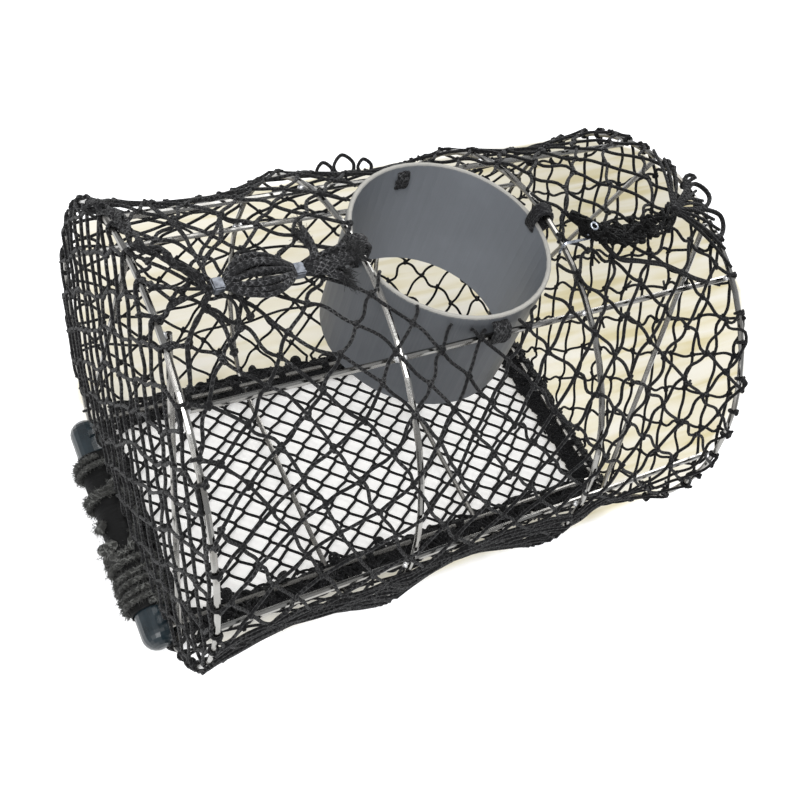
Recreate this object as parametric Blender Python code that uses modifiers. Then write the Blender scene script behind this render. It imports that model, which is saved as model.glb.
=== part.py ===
"""Crab trap on a rod frame: four hoops, long rods, nets, an entry pipe, a ballast bar and two closures.

Metres, +Z up. The trap's length runs along X, and the origin is at the bottom centre of the whole object.
Positions along the trap are measured from the middle of the frame, which stands at X = FRAME_X.
"""
import math

import bmesh
import bpy
from mathutils import Matrix, Vector

# Clearance that touching pieces keep
GAP = 0.0003

# Rod frame
HOOP_RADIUS = 0.2288
ROD_RADIUS = 0.003
CHORD_DROP_RATIO = 0.7653
HOOP_CORNER_RATIO = 0.1311
HOOP_STEP = math.radians(8.0)
END_HOOP_X = 0.295
SIDE_ROD_ANGLE = math.radians(83.0)
FLOOR_ROD_INSET = 0.0009
END_BAR_TOP_ANGLE = math.radians(12.1)
END_BAR_BOTTOM_ANGLE = math.radians(137.0)

# Entry pipe
PIPE_RADIUS = 0.100
PIPE_WALL = 0.0045
PIPE_LENGTH = 0.135
PIPE_RIM_DROP = 0.0102
PIPE_STEPS = 48
PIPE_BEVEL = 0.001
PIPE_ROD_GAP = 0.0005
TIE_RADIUS = 0.0015
TIE_BEND = 0.003
TIE_EASE = 0.002
TIE_RISE = 0.004
TIE_HOLE_RADIUS = 0.0028
TIE_HOLE_DROP = 0.009
TIE_HOLE_SIDES = 10

# Edging rolls of gathered net under the floor's edges
ROLL_HALF_HEIGHT = 0.00675
ROLL_SIDES = 8
SIDE_ROLL_SHIFT = 0.0055
RIGHT_ROLL_WIDTH = 0.024

# Nets
STRAND_WIDTH = 0.003
STRAND_THICKNESS = 0.0024
FLOOR_STRAND_WIDTH = 0.0024
FLOOR_STRAND_THICKNESS = 0.0018
FLOOR_NET_CELLS = (11, 5)
END_NET_CELLS = (4, 4)
SIDE_NET_CELLS = (7, 3)
TOP_NET_CELLS = (2, 3)
WALL_NET_SLACK = 0.0008
WALL_NET_END_ANGLE = math.radians(137.0)
END_NET_TOP_RATIO = 0.95

# Ballast bar, its sleeve and lashing
BAR_RADIUS = 0.017
BAR_LENGTH = 0.290
BAR_Y = -0.015
BAR_LIFT = 0.010
SLEEVE_WALL = 0.0012
SLEEVE_LENGTH = 0.196
SLEEVE_Y = -0.020
LASHING_RADIUS = 0.0025
LASHING_LOOPS = 5
LASHING_PITCH = 0.0365
LASHING_START_Y = 0.071
BAR_STEPS = 20
SLEEVE_STEPS = 24

# Closures on top
HANK_CORD_RADIUS = 0.002
HANK_PITCH = 0.0051
HANK_CORE = 0.0040
LEFT_HANK_SHIFT = -0.0074
LEFT_HANK_LENGTH = 0.060
LEFT_HANK_LOOPS = 4
RIGHT_HANK_SHIFT = -0.002
RIGHT_HANK_LENGTH = 0.100
RIGHT_HANK_LOOPS = 4
RIGHT_HANK_BOW = -0.006
LOOP_POINTS = 24
LEFT_CLOSURE_Y = -0.0235
RIGHT_CLOSURE_Y = -0.045
RIGHT_GATHER_RISE = 0.017
CRIMP_LENGTH = 0.010
CRIMP_WIDTH = 0.012
CRIMP_HEIGHT = 0.009
CRIMP_EDGE = 0.0012
GATHER_RADIUS = 0.006
BRAID_START_X = 0.012
BRAID_START_Y = 0.078
TAIL_RADIUS = 0.0075
TAIL_STRAIGHT = 0.014

# Closure hook
HOOK_WIRE_RADIUS = 0.0013
HOOK_EYE_RADIUS = 0.0045
HOOK_REACH = 0.026
HOOK_MOUTH = 0.004
HOOK_TIE_RADIUS = 0.0012
HOOK_TIE_HALF = 0.006
HOOK_TIE_EASE = 0.002

# Worked out from the sizes above
CHORD_DROP = CHORD_DROP_RATIO * HOOP_RADIUS
HOOP_CORNER = HOOP_CORNER_RATIO * HOOP_RADIUS
CORNER_DROP = CHORD_DROP - HOOP_CORNER
CHORD_HALF = math.sqrt((HOOP_RADIUS - HOOP_CORNER) ** 2 - CORNER_DROP ** 2)
CHORD_Z = 2 * ROLL_HALF_HEIGHT + GAP + ROD_RADIUS
AXIS_Z = CHORD_Z + CHORD_DROP
HOOP_SAG = HOOP_RADIUS * (1 - math.cos(HOOP_STEP / 2))
ROD_CIRCLE = HOOP_RADIUS - 2 * ROD_RADIUS - HOOP_SAG - GAP
TOP_ROD_Y = PIPE_RADIUS + PIPE_ROD_GAP + ROD_RADIUS
TOP_ROD_Z = AXIS_Z + math.sqrt(ROD_CIRCLE ** 2 - TOP_ROD_Y ** 2)
TOP_ROD_ANGLE = math.asin(TOP_ROD_Y / ROD_CIRCLE)
FLOOR_ROD_Y = CHORD_HALF - FLOOR_ROD_INSET
SIDE_ROLL_Y = FLOOR_ROD_Y + SIDE_ROLL_SHIFT
MIDDLE_HOOP_X = PIPE_RADIUS + ROD_RADIUS
BAY_MIDDLE_X = (MIDDLE_HOOP_X + END_HOOP_X) / 2
LEFT_HANK_X = LEFT_HANK_SHIFT - BAY_MIDDLE_X
RIGHT_HANK_X = RIGHT_HANK_SHIFT + BAY_MIDDLE_X
HOOK_EYE_X = MIDDLE_HOOP_X + HOOK_REACH
NET_RADIUS = HOOP_RADIUS + ROD_RADIUS + GAP + WALL_NET_SLACK + STRAND_THICKNESS / 2
NET_TOP = NET_RADIUS + STRAND_THICKNESS / 2
END_NET_X = END_HOOP_X + ROD_RADIUS + GAP + STRAND_THICKNESS / 2
SLEEVE_RADIUS = BAR_RADIUS + GAP + SLEEVE_WALL
BAR_Z = BAR_LIFT + 2 * LASHING_RADIUS + 2 * GAP + SLEEVE_RADIUS
BAR_REACH = SLEEVE_RADIUS + GAP + ROD_RADIUS
BAR_X = -END_HOOP_X - math.sqrt(BAR_REACH ** 2 - (BAR_Z - CHORD_Z) ** 2)
FLOOR_ROD_Z = CHORD_Z + 2 * ROD_RADIUS + GAP
BAR_OVER_ROD = BAR_Z - FLOOR_ROD_Z - ROD_RADIUS
FLOOR_ROD_LEFT = BAR_X + math.sqrt(max((BAR_RADIUS + GAP) ** 2 - BAR_OVER_ROD ** 2, 0.0))
LASHING_REACH = SLEEVE_RADIUS + GAP + 2 * LASHING_RADIUS
LEFT_REACH = LASHING_REACH - BAR_X
RIGHT_REACH = max(END_NET_X + STRAND_THICKNESS / 2, END_HOOP_X + RIGHT_ROLL_WIDTH / 2)
FRAME_X = (LEFT_REACH - RIGHT_REACH) / 2
ROLL_CIRCLE = ROLL_HALF_HEIGHT / math.cos(math.pi / ROLL_SIDES)
LEFT_ROLL_X = -END_HOOP_X + ROD_RADIUS + 2 * GAP + 2 * LASHING_RADIUS + ROLL_CIRCLE

for old in list(bpy.data.objects):
    bpy.data.objects.remove(old, do_unlink=True)

trap = bpy.data.collections.new("crab_trap")
cutters = bpy.data.collections.new("crab_trap_cutters")
bpy.context.scene.collection.children.link(trap)
bpy.context.scene.collection.children.link(cutters)


def material(name, colour, roughness, metallic=0.0):
    """A Principled material of one colour."""
    made = bpy.data.materials.new(name)
    made.use_nodes = True
    shader = made.node_tree.nodes["Principled BSDF"]
    shader.inputs["Base Color"].default_value = (*colour, 1.0)
    shader.inputs["Roughness"].default_value = roughness
    shader.inputs["Metallic"].default_value = metallic
    return made


STEEL = material("steel_rod", (0.62, 0.62, 0.60), 0.32, 1.0)
PIPE_GREY = material("grey_pipe", (0.16, 0.18, 0.21), 0.45)
NET_BLACK = material("black_net", (0.012, 0.012, 0.014), 0.7)
CORD_BLACK = material("black_cord", (0.03, 0.03, 0.033), 0.75)
EDGING_BLACK = material("black_edging", (0.018, 0.018, 0.02), 0.8)
BAR_BLUE = material("blue_bar", (0.035, 0.055, 0.075), 0.3)
SLEEVE_BLACK = material("black_sleeve", (0.015, 0.015, 0.014), 0.7)
ROPE_GREY = material("dark_rope", (0.055, 0.055, 0.05), 0.9)
CRIMP_GREY = material("grey_crimp", (0.45, 0.46, 0.48), 0.4, 1.0)


def at(x, y, z):
    """A point given from the middle of the frame, in world coordinates."""
    return Vector((x + FRAME_X, y, z))


def add(name, data, finish, collection=trap):
    """An object with its material, in its collection."""
    piece = bpy.data.objects.new(name, data)
    data.materials.append(finish)
    collection.objects.link(piece)
    return piece


def tube(name, points, radius, finish, detail=2, closed=False, origin=None):
    """A round tube along points, with filled ends unless it is closed."""
    curve = bpy.data.curves.new(name, "CURVE")
    curve.dimensions = "3D"
    curve.bevel_depth = radius
    curve.bevel_resolution = detail
    curve.use_fill_caps = not closed
    spline = curve.splines.new("POLY")
    spline.points.add(len(points) - 1)
    start = origin or Vector((0, 0, 0))
    for slot, point in zip(spline.points, points):
        slot.co = (*(Vector(point) - start), 1.0)
    spline.use_cyclic_u = closed
    spline.use_smooth = True
    piece = add(name, curve, finish)
    piece.location = start
    return piece


def shade(mesh, angle=35.0):
    """Smooth shading with sharp edges past an angle in degrees."""
    mesh.shade_smooth()
    mesh.set_sharp_from_angle(angle=math.radians(angle))


def hoop_points():
    """One hoop as (y, z): a circle with a flat bottom chord and rounded corners."""
    meet = math.atan2(CHORD_HALF, -CORNER_DROP)
    steps = 2 * round(meet / HOOP_STEP)
    half = [meet * (2 * i / steps - 1) for i in range(steps + 1)]
    points = [(HOOP_RADIUS * math.sin(a), AXIS_Z + HOOP_RADIUS * math.cos(a)) for a in half]
    corner_z = AXIS_Z - CORNER_DROP
    for turn in (1 / 3, 2 / 3, 1.0):
        a = meet + (math.pi - meet) * turn
        points.append((CHORD_HALF + HOOP_CORNER * math.sin(a), corner_z + HOOP_CORNER * math.cos(a)))
    for turn in (1.0, 2 / 3, 1 / 3):
        a = meet + (math.pi - meet) * turn
        points.append((-CHORD_HALF - HOOP_CORNER * math.sin(a), corner_z + HOOP_CORNER * math.cos(a)))
    return points


def make_hoops():
    """Four closed hoops along the trap."""
    places = {
        "hoop_left_end": -END_HOOP_X,
        "hoop_left_middle": -MIDDLE_HOOP_X,
        "hoop_right_middle": MIDDLE_HOOP_X,
        "hoop_right_end": END_HOOP_X,
    }
    for name, x in places.items():
        tube(name, [at(x, y, z) for y, z in hoop_points()], ROD_RADIUS, STEEL, closed=True)


def make_rods():
    """Six long rods inside the hoops: two on top, two at the sides, and two on the floor up to the bar."""
    reach = END_HOOP_X + ROD_RADIUS
    side_y = ROD_CIRCLE * math.sin(SIDE_ROD_ANGLE)
    side_z = AXIS_Z + ROD_CIRCLE * math.cos(SIDE_ROD_ANGLE)
    places = {
        "top": (-reach, TOP_ROD_Y, TOP_ROD_Z),
        "side": (-reach, side_y, side_z),
        "floor": (max(-reach, FLOOR_ROD_LEFT), FLOOR_ROD_Y, FLOOR_ROD_Z),
    }
    for side, word in ((-1, "near"), (1, "far")):
        for kind, (left, y, z) in places.items():
            ends = [at(left, side * y, z), at(reach, side * y, z)]
            tube(f"rod_{kind}_{word}", ends, ROD_RADIUS, STEEL)


def make_end_bars():
    """Two straight bars on the inner face of each end hoop, as an inverted V."""
    top_y = HOOP_RADIUS * math.sin(END_BAR_TOP_ANGLE)
    top_z = AXIS_Z + HOOP_RADIUS * math.cos(END_BAR_TOP_ANGLE)
    bottom_y = HOOP_RADIUS * math.sin(END_BAR_BOTTOM_ANGLE)
    bottom_z = AXIS_Z + HOOP_RADIUS * math.cos(END_BAR_BOTTOM_ANGLE)
    for end, end_word in ((-1, "left"), (1, "right")):
        x = end * (END_HOOP_X - 2 * ROD_RADIUS - GAP)
        for side, word in ((-1, "near"), (1, "far")):
            top = at(x, side * top_y, top_z)
            bottom = at(x, side * bottom_y, bottom_z)
            tube(f"end_bar_{end_word}_{word}", [top, bottom], ROD_RADIUS, STEEL)


def cut(piece, cutter):
    """A Boolean difference that hides its cutter."""
    cutter.hide_render = True
    cutter.display_type = "WIRE"
    knife = piece.modifiers.new("cut", "BOOLEAN")
    knife.operation = "DIFFERENCE"
    knife.object = cutter


def drill(name, middle, axis, radius, length):
    """A round cutter along an axis."""
    mesh = bpy.data.meshes.new(name)
    bm = bmesh.new()
    bmesh.ops.create_cone(bm, cap_ends=True, segments=TIE_HOLE_SIDES, radius1=radius, radius2=radius, depth=length)
    turn = Vector((0, 0, 1)).rotation_difference(Vector(axis)).to_matrix().to_4x4()
    bmesh.ops.transform(bm, matrix=turn, verts=bm.verts)
    bm.to_mesh(mesh)
    bm.free()
    cutter = add(name, mesh, PIPE_GREY, cutters)
    cutter.location = middle
    return cutter


PIPE_RIM_Z = AXIS_Z + HOOP_RADIUS - PIPE_RIM_DROP
UPPER_HOLE_Z = PIPE_RIM_Z - TIE_HOLE_DROP
TIE_CLEAR = TIE_RADIUS + GAP
LOWER_HOLE_Z = TOP_ROD_Z - ROD_RADIUS - TIE_CLEAR - TIE_HOLE_RADIUS + TIE_RADIUS
WALL_MIDDLE = PIPE_RADIUS - PIPE_WALL / 2


def make_pipe():
    """The entry pipe, a turned profile with tie holes below its rim."""
    mesh = bpy.data.meshes.new("entry_pipe")
    outer = PIPE_RADIUS
    inner = PIPE_RADIUS - PIPE_WALL
    ease = PIPE_BEVEL
    low = -PIPE_LENGTH
    profile = [
        (outer, -ease), (outer, low + ease), (outer - ease, low), (inner + ease, low),
        (inner, low + ease), (inner, -ease), (inner + ease, 0.0), (outer - ease, 0.0),
    ]
    bm = bmesh.new()
    ring = [bm.verts.new((r, 0.0, z)) for r, z in profile]
    for first, second in zip(ring, ring[1:] + ring[:1]):
        bm.edges.new((first, second))
    bm.to_mesh(mesh)
    bm.free()
    pipe = add("entry_pipe", mesh, PIPE_GREY)
    pipe.location = at(0.0, 0.0, PIPE_RIM_Z)
    turn = pipe.modifiers.new("turn", "SCREW")
    turn.steps = PIPE_STEPS
    turn.render_steps = PIPE_STEPS
    turn.use_merge_vertices = True
    turn.merge_threshold = 0.0001
    turn.use_smooth_shade = True
    length = 4 * PIPE_WALL
    for side, word in ((-1, "left"), (1, "right")):
        middle = at(side * WALL_MIDDLE, 0.0, UPPER_HOLE_Z)
        cut(pipe, drill(f"hole_{word}", middle, (1, 0, 0), TIE_HOLE_RADIUS, length))
    for side, word in ((-1, "near"), (1, "far")):
        for level, z in (("upper", UPPER_HOLE_Z), ("lower", LOWER_HOLE_Z)):
            middle = at(0.0, side * WALL_MIDDLE, z)
            cut(pipe, drill(f"hole_{word}_{level}", middle, (0, 1, 0), TIE_HOLE_RADIUS, length))


def make_ties():
    """Four cord loops that hold the pipe: two over its rim to a hoop, two through paired holes to a rod."""
    inside = PIPE_RADIUS - PIPE_WALL - TIE_CLEAR
    hoop_out = MIDDLE_HOOP_X + ROD_RADIUS + TIE_CLEAR
    crown = AXIS_Z + HOOP_RADIUS + ROD_RADIUS + TIE_CLEAR
    for side, word in ((-1, "left"), (1, "right")):
        route = [
            (inside, UPPER_HOLE_Z), (hoop_out - TIE_BEND, UPPER_HOLE_Z), (hoop_out, UPPER_HOLE_Z + TIE_RISE),
            (hoop_out, crown - TIE_BEND), (hoop_out - TIE_BEND, crown), (inside + TIE_BEND, crown),
            (inside, crown - TIE_RISE),
        ]
        points = [at(side * x, 0.0, z) for x, z in route]
        tube(f"pipe_tie_{word}", points, TIE_RADIUS, CORD_BLACK, detail=1, closed=True)
    rod_out = TOP_ROD_Y + ROD_RADIUS + TIE_CLEAR
    for side, word in ((-1, "near"), (1, "far")):
        route = [
            (inside, UPPER_HOLE_Z - TIE_EASE), (inside + TIE_EASE, UPPER_HOLE_Z),
            (PIPE_RADIUS + TIE_CLEAR, UPPER_HOLE_Z), (rod_out, TOP_ROD_Z + TIE_RISE),
            (rod_out, TOP_ROD_Z - TIE_BEND), (rod_out - TIE_EASE, LOWER_HOLE_Z),
            (inside + TIE_EASE, LOWER_HOLE_Z), (inside, LOWER_HOLE_Z + TIE_EASE),
        ]
        points = [at(0.0, side * y, z) for y, z in route]
        tube(f"pipe_tie_{word}", points, TIE_RADIUS, CORD_BLACK, detail=1, closed=True)


def net(name, cells, width, thickness, flat, place):
    """A diamond net. flat turns grid places from -1 to 1 into sizes, and place puts those in space."""
    bm = bmesh.new()
    bmesh.ops.create_grid(bm, x_segments=cells[0], y_segments=cells[1], size=1.0)
    sides = [edge for edge in bm.edges if not edge.is_boundary]
    bmesh.ops.poke(bm, faces=bm.faces[:])
    bmesh.ops.dissolve_edges(bm, edges=sides)
    for edge in [edge for edge in bm.edges if edge.is_boundary and edge.verts[0].co.x == edge.verts[1].co.x]:
        bmesh.utils.edge_split(edge, edge.verts[0], 0.5)
    for vert in bm.verts:
        vert.co = (*flat(vert.co.x, vert.co.y), 0.0)
    meshes = bm.faces[:]
    bmesh.ops.inset_individual(bm, faces=meshes, thickness=width / 2, use_even_offset=True)
    bmesh.ops.delete(bm, geom=meshes, context="FACES")
    for vert in bm.verts:
        vert.co = place(vert.co.x, vert.co.y)
    bmesh.ops.recalc_face_normals(bm, faces=bm.faces)
    mesh = bpy.data.meshes.new(name)
    bm.to_mesh(mesh)
    bm.free()
    piece = add(name, mesh, NET_BLACK)
    twine = piece.modifiers.new("twine", "SOLIDIFY")
    twine.thickness = thickness
    twine.offset = 0.0
    return piece


def make_floor_net():
    """The fine flat net under the hoops' chords, between the edging rolls."""
    z = CHORD_Z - ROD_RADIUS - GAP - FLOOR_STRAND_THICKNESS / 2
    edge_y = SIDE_ROLL_Y - ROLL_CIRCLE - GAP
    left = LEFT_ROLL_X + ROLL_CIRCLE + GAP
    right = END_HOOP_X - RIGHT_ROLL_WIDTH / 2 - GAP
    middle = (left + right) / 2
    half = (right - left) / 2
    net("floor_net", FLOOR_NET_CELLS, FLOOR_STRAND_WIDTH, FLOOR_STRAND_THICKNESS,
        lambda u, v: (middle + half * u, edge_y * v), lambda x, y: at(x, y, z))


def make_wall_nets():
    """Curved panels of coarse net over the hoops, between the long rods."""
    def panel(name, cells, first, last, left, right):
        middle = (left + right) / 2
        half = (right - left) / 2
        turn = (first + last) / 2
        spread = (last - first) / 2 - GAP / NET_RADIUS

        def place(x, arc):
            a = turn + arc / NET_RADIUS
            return at(x, NET_RADIUS * math.sin(a), AXIS_Z + NET_RADIUS * math.cos(a))

        net(name, cells, STRAND_WIDTH, STRAND_THICKNESS,
            lambda u, v: (middle + half * u, NET_RADIUS * spread * v), place)

    reach = END_HOOP_X + ROD_RADIUS
    inner = MIDDLE_HOOP_X + ROD_RADIUS + 2 * TIE_CLEAR
    for side, word in ((-1, "near"), (1, "far")):
        for kind, low, high in (
            ("upper", TOP_ROD_ANGLE, SIDE_ROD_ANGLE),
            ("lower", SIDE_ROD_ANGLE, WALL_NET_END_ANGLE),
        ):
            first, last = sorted((side * low, side * high))
            panel(f"net_{word}_{kind}", SIDE_NET_CELLS, first, last, -reach, reach)
    panel("net_top_left", TOP_NET_CELLS, -TOP_ROD_ANGLE, TOP_ROD_ANGLE, -reach, -inner)
    panel("net_top_right", TOP_NET_CELLS, -TOP_ROD_ANGLE, TOP_ROD_ANGLE, inner, reach)


def make_end_nets():
    """Flat nets over both ends, drawn together towards the top as the hoop narrows."""
    clear_z = BAR_Z + LASHING_REACH + GAP
    for end, word, low_z in ((-1, "left", clear_z), (1, "right", CHORD_Z)):
        low = low_z - AXIS_Z
        high = HOOP_RADIUS * END_NET_TOP_RATIO

        def flat(u, v, low=low, high=high):
            z = low + (high - low) * (v + 1) / 2
            return u * math.sqrt(HOOP_RADIUS ** 2 - z ** 2), z

        net(f"net_end_{word}", END_NET_CELLS, STRAND_WIDTH, STRAND_THICKNESS,
            flat, lambda y, z, x=end * END_NET_X: at(x, y, AXIS_Z + z))


def roll(name, middle, axis, length, half_width):
    """An edging roll with eight sides, one of them flat on the ground."""
    bm = bmesh.new()
    bmesh.ops.create_cone(bm, cap_ends=True, segments=ROLL_SIDES, radius1=ROLL_CIRCLE,
                          radius2=ROLL_CIRCLE, depth=length)
    bmesh.ops.rotate(bm, verts=bm.verts, matrix=Matrix.Rotation(math.pi / ROLL_SIDES, 3, "Z"))
    turn = Vector((0, 0, 1)).rotation_difference(Vector(axis)).to_matrix()
    bmesh.ops.rotate(bm, verts=bm.verts, matrix=turn)
    wide = half_width / ROLL_HALF_HEIGHT
    if axis[0] == 0:
        bmesh.ops.scale(bm, verts=bm.verts, vec=(wide, 1.0, 1.0))
    mesh = bpy.data.meshes.new(name)
    bm.to_mesh(mesh)
    bm.free()
    shade(mesh, 50.0)
    piece = add(name, mesh, EDGING_BLACK)
    piece.location = middle
    return piece


def make_edging():
    """Four rolls of gathered net that carry the frame."""
    z = ROLL_HALF_HEIGHT
    left_x = LEFT_ROLL_X + ROLL_CIRCLE + GAP
    right_x = END_HOOP_X - RIGHT_ROLL_WIDTH / 2 - GAP
    for side, word in ((-1, "near"), (1, "far")):
        middle = at((left_x + right_x) / 2, side * SIDE_ROLL_Y, z)
        roll(f"edging_{word}", middle, (1, 0, 0), right_x - left_x, ROLL_HALF_HEIGHT)
    width = 2 * (SIDE_ROLL_Y + ROLL_CIRCLE)
    roll("edging_left", at(LEFT_ROLL_X, 0.0, z), (0, 1, 0), width, ROLL_HALF_HEIGHT)
    roll("edging_right", at(END_HOOP_X, 0.0, z), (0, 1, 0), width, RIGHT_ROLL_WIDTH / 2)


def make_ballast():
    """The ballast bar with round ends, and the sleeve round its middle."""
    quarter = [math.radians(15 * i) for i in range(1, 6)]
    cap = BAR_LENGTH / 2 - BAR_RADIUS
    side = [(BAR_RADIUS, cap), (BAR_RADIUS, -cap)]
    top = [(BAR_RADIUS * math.sin(a), cap + BAR_RADIUS * math.cos(a)) for a in quarter]
    low = [(r, -z) for r, z in reversed(top)]
    profile = [(0.0, BAR_LENGTH / 2)] + top + side + low + [(0.0, -BAR_LENGTH / 2)]
    turned("ballast_bar", profile, BAR_BLUE, BAR_STEPS, at(BAR_X, BAR_Y, BAR_Z), closed=False)
    half = SLEEVE_LENGTH / 2
    inner = SLEEVE_RADIUS - SLEEVE_WALL
    ring = [(SLEEVE_RADIUS, half), (SLEEVE_RADIUS, -half), (inner, -half), (inner, half)]
    turned("ballast_sleeve", ring, SLEEVE_BLACK, SLEEVE_STEPS, at(BAR_X, SLEEVE_Y, BAR_Z), closed=True)


def turned(name, profile, finish, steps, middle, closed):
    """A profile of (radius, height) turned about its axis, which is then laid along Y."""
    mesh = bpy.data.meshes.new(name)
    bm = bmesh.new()
    row = [bm.verts.new((r, 0.0, z)) for r, z in profile]
    pairs = zip(row, row[1:] + row[:1]) if closed else zip(row, row[1:])
    for first, second in pairs:
        bm.edges.new((first, second))
    bm.to_mesh(mesh)
    bm.free()
    piece = add(name, mesh, finish)
    turn = piece.modifiers.new("turn", "SCREW")
    turn.steps = steps
    turn.render_steps = steps
    turn.use_merge_vertices = True
    turn.merge_threshold = 0.00005
    turn.use_smooth_shade = True
    piece.rotation_euler = (math.pi / 2, 0.0, 0.0)
    piece.location = middle
    return piece


def make_lashing():
    """One cord wound round the sleeve and the left hoop's chord, in five spaced loops."""
    bar_reach = SLEEVE_RADIUS + GAP + LASHING_RADIUS
    rod_reach = ROD_RADIUS + GAP + LASHING_RADIUS
    points = []
    for i in range(LASHING_LOOPS * LOOP_POINTS + 1):
        turns = i / LOOP_POINTS
        a = 2 * math.pi * turns + math.pi / 2
        along_x, along_z = math.cos(a), math.sin(a)
        bar_way = BAR_X * along_x + BAR_Z * along_z + bar_reach
        rod_way = -END_HOOP_X * along_x + CHORD_Z * along_z + rod_reach
        if bar_way > rod_way:
            centre, reach = (BAR_X, BAR_Z), bar_reach
        else:
            centre, reach = (-END_HOOP_X, CHORD_Z), rod_reach
        y = LASHING_START_Y - LASHING_PITCH * turns
        points.append(at(centre[0] + reach * along_x, y, centre[1] + reach * along_z))
    tube("ballast_lashing", points, LASHING_RADIUS, ROPE_GREY, detail=1)
    return points


def least_gap(points, radius, skip):
    """The least clear distance between stretches of one tube that are at least skip points apart."""
    least = 1.0
    for i in range(len(points) - 1):
        for j in range(i + skip, len(points) - 1):
            a, b, c, d = points[i], points[i + 1], points[j], points[j + 1]
            for s in (0.0, 0.5, 1.0):
                p = a.lerp(b, s)
                way = d - c
                t = max(0.0, min(1.0, (p - c).dot(way) / way.length_squared))
                least = min(least, (p - c.lerp(d, t)).length)
    return least - 2 * radius


def hank_points(x, y, length, loops, bow):
    """Loops laid side by side in two layers: they spiral in, climb a layer and spiral out again."""
    half_turns = loops / 2
    widest = HANK_CORE + HANK_PITCH * half_turns
    run = length / 2 - widest - HANK_CORD_RADIUS
    floor = NET_TOP + GAP + HANK_CORD_RADIUS
    points = []
    for i in range(loops * LOOP_POINTS + 1):
        n = i / LOOP_POINTS
        inward = min(n, loops - n)
        wide = widest - HANK_PITCH * inward
        climb = max(0.0, min(1.0, (n - half_turns) * 2 + 0.5))
        f = n % 1.0
        if f < 0.25:
            a = math.pi * (f / 0.25) - math.pi / 2
            px, py = run + wide * math.cos(a), wide * math.sin(a)
        elif f < 0.5:
            px, py = run - 2 * run * (f - 0.25) / 0.25, wide
        elif f < 0.75:
            a = math.pi * ((f - 0.5) / 0.25) + math.pi / 2
            px, py = -run + wide * math.cos(a), wide * math.sin(a)
        else:
            px, py = -run + 2 * run * (f - 0.75) / 0.25, -wide
        side = y + py + bow * (1 - (2 * px / length) ** 2)
        level = floor + HANK_PITCH * climb
        points.append(at(x + px, side, AXIS_Z + math.sqrt(level ** 2 - side ** 2)))
    return points


def make_closures():
    """The two gathered closures on top: gather, crimp, hank, crimp and tail on the left, hank on the right."""
    def lying(x, y, radius):
        level = NET_TOP + GAP + radius
        return at(x, y, AXIS_Z + math.sqrt(level ** 2 - y ** 2))

    left = hank_points(LEFT_HANK_X, LEFT_CLOSURE_Y, LEFT_HANK_LENGTH, LEFT_HANK_LOOPS, 0.0)
    tube("closure_hank_left", left, HANK_CORD_RADIUS, CORD_BLACK, detail=1)
    right = hank_points(RIGHT_HANK_X, RIGHT_CLOSURE_Y, RIGHT_HANK_LENGTH, RIGHT_HANK_LOOPS, RIGHT_HANK_BOW)
    tube("closure_hank_right", right, HANK_CORD_RADIUS, CORD_BLACK, detail=1)
    for name, points in (("left", left), ("right", right)):
        print("least gap in", name, "hank, mm:", round(1000 * least_gap(points, HANK_CORD_RADIUS, 12), 2))

    first = LEFT_HANK_X - LEFT_HANK_LENGTH / 2 - GAP
    second = LEFT_HANK_X + LEFT_HANK_LENGTH / 2 + GAP
    for name, x in (("crimp_outer", first - CRIMP_LENGTH / 2), ("crimp_inner", second + CRIMP_LENGTH / 2)):
        mesh = bpy.data.meshes.new(name)
        bm = bmesh.new()
        bmesh.ops.create_cube(bm, size=1.0)
        bmesh.ops.scale(bm, verts=bm.verts, vec=(CRIMP_LENGTH, CRIMP_WIDTH, CRIMP_HEIGHT))
        bmesh.ops.bevel(bm, geom=bm.edges[:], offset=CRIMP_EDGE, segments=2, affect="EDGES")
        bm.to_mesh(mesh)
        bm.free()
        shade(mesh)
        crimp = add(name, mesh, CRIMP_GREY)
        crimp.location = lying(x, LEFT_CLOSURE_Y, CRIMP_HEIGHT / 2)
        crimp.rotation_euler = (-math.asin(LEFT_CLOSURE_Y / (NET_TOP + GAP + CRIMP_HEIGHT / 2)), 0.0, 0.0)

    braid_start = BRAID_START_X - END_HOOP_X
    braid_end = first - CRIMP_LENGTH - GAP
    fall = BRAID_START_Y - LEFT_CLOSURE_Y
    braid = []
    for along, across in ((0.0, 1.0), (0.22, 0.73), (0.44, 0.38), (0.7, 0.0), (1.0, 0.0)):
        x = braid_start + (braid_end - braid_start) * along
        braid.append(lying(x, LEFT_CLOSURE_Y + fall * across, GATHER_RADIUS))
    tube("gather_left", braid, GATHER_RADIUS, NET_BLACK)
    tail_start = second + CRIMP_LENGTH + GAP
    tail_end = -MIDDLE_HOOP_X - ROD_RADIUS - 2 * TIE_CLEAR - 2 * TIE_RADIUS
    tail = [
        lying(tail_start, LEFT_CLOSURE_Y, TAIL_RADIUS),
        lying(tail_start + TAIL_STRAIGHT, LEFT_CLOSURE_Y, TAIL_RADIUS),
        lying(tail_end, 0.0, TAIL_RADIUS),
    ]
    tube("closure_tail_left", tail, TAIL_RADIUS, CORD_BLACK)
    gather_start = RIGHT_HANK_X + RIGHT_HANK_LENGTH / 2 + GAP
    gather = [
        lying(gather_start, RIGHT_CLOSURE_Y, GATHER_RADIUS),
        lying(gather_start + GATHER_RADIUS, RIGHT_CLOSURE_Y, GATHER_RADIUS),
        lying(END_HOOP_X, RIGHT_CLOSURE_Y + RIGHT_GATHER_RISE, GATHER_RADIUS),
    ]
    tube("gather_right", gather, GATHER_RADIUS, NET_BLACK)


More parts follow.
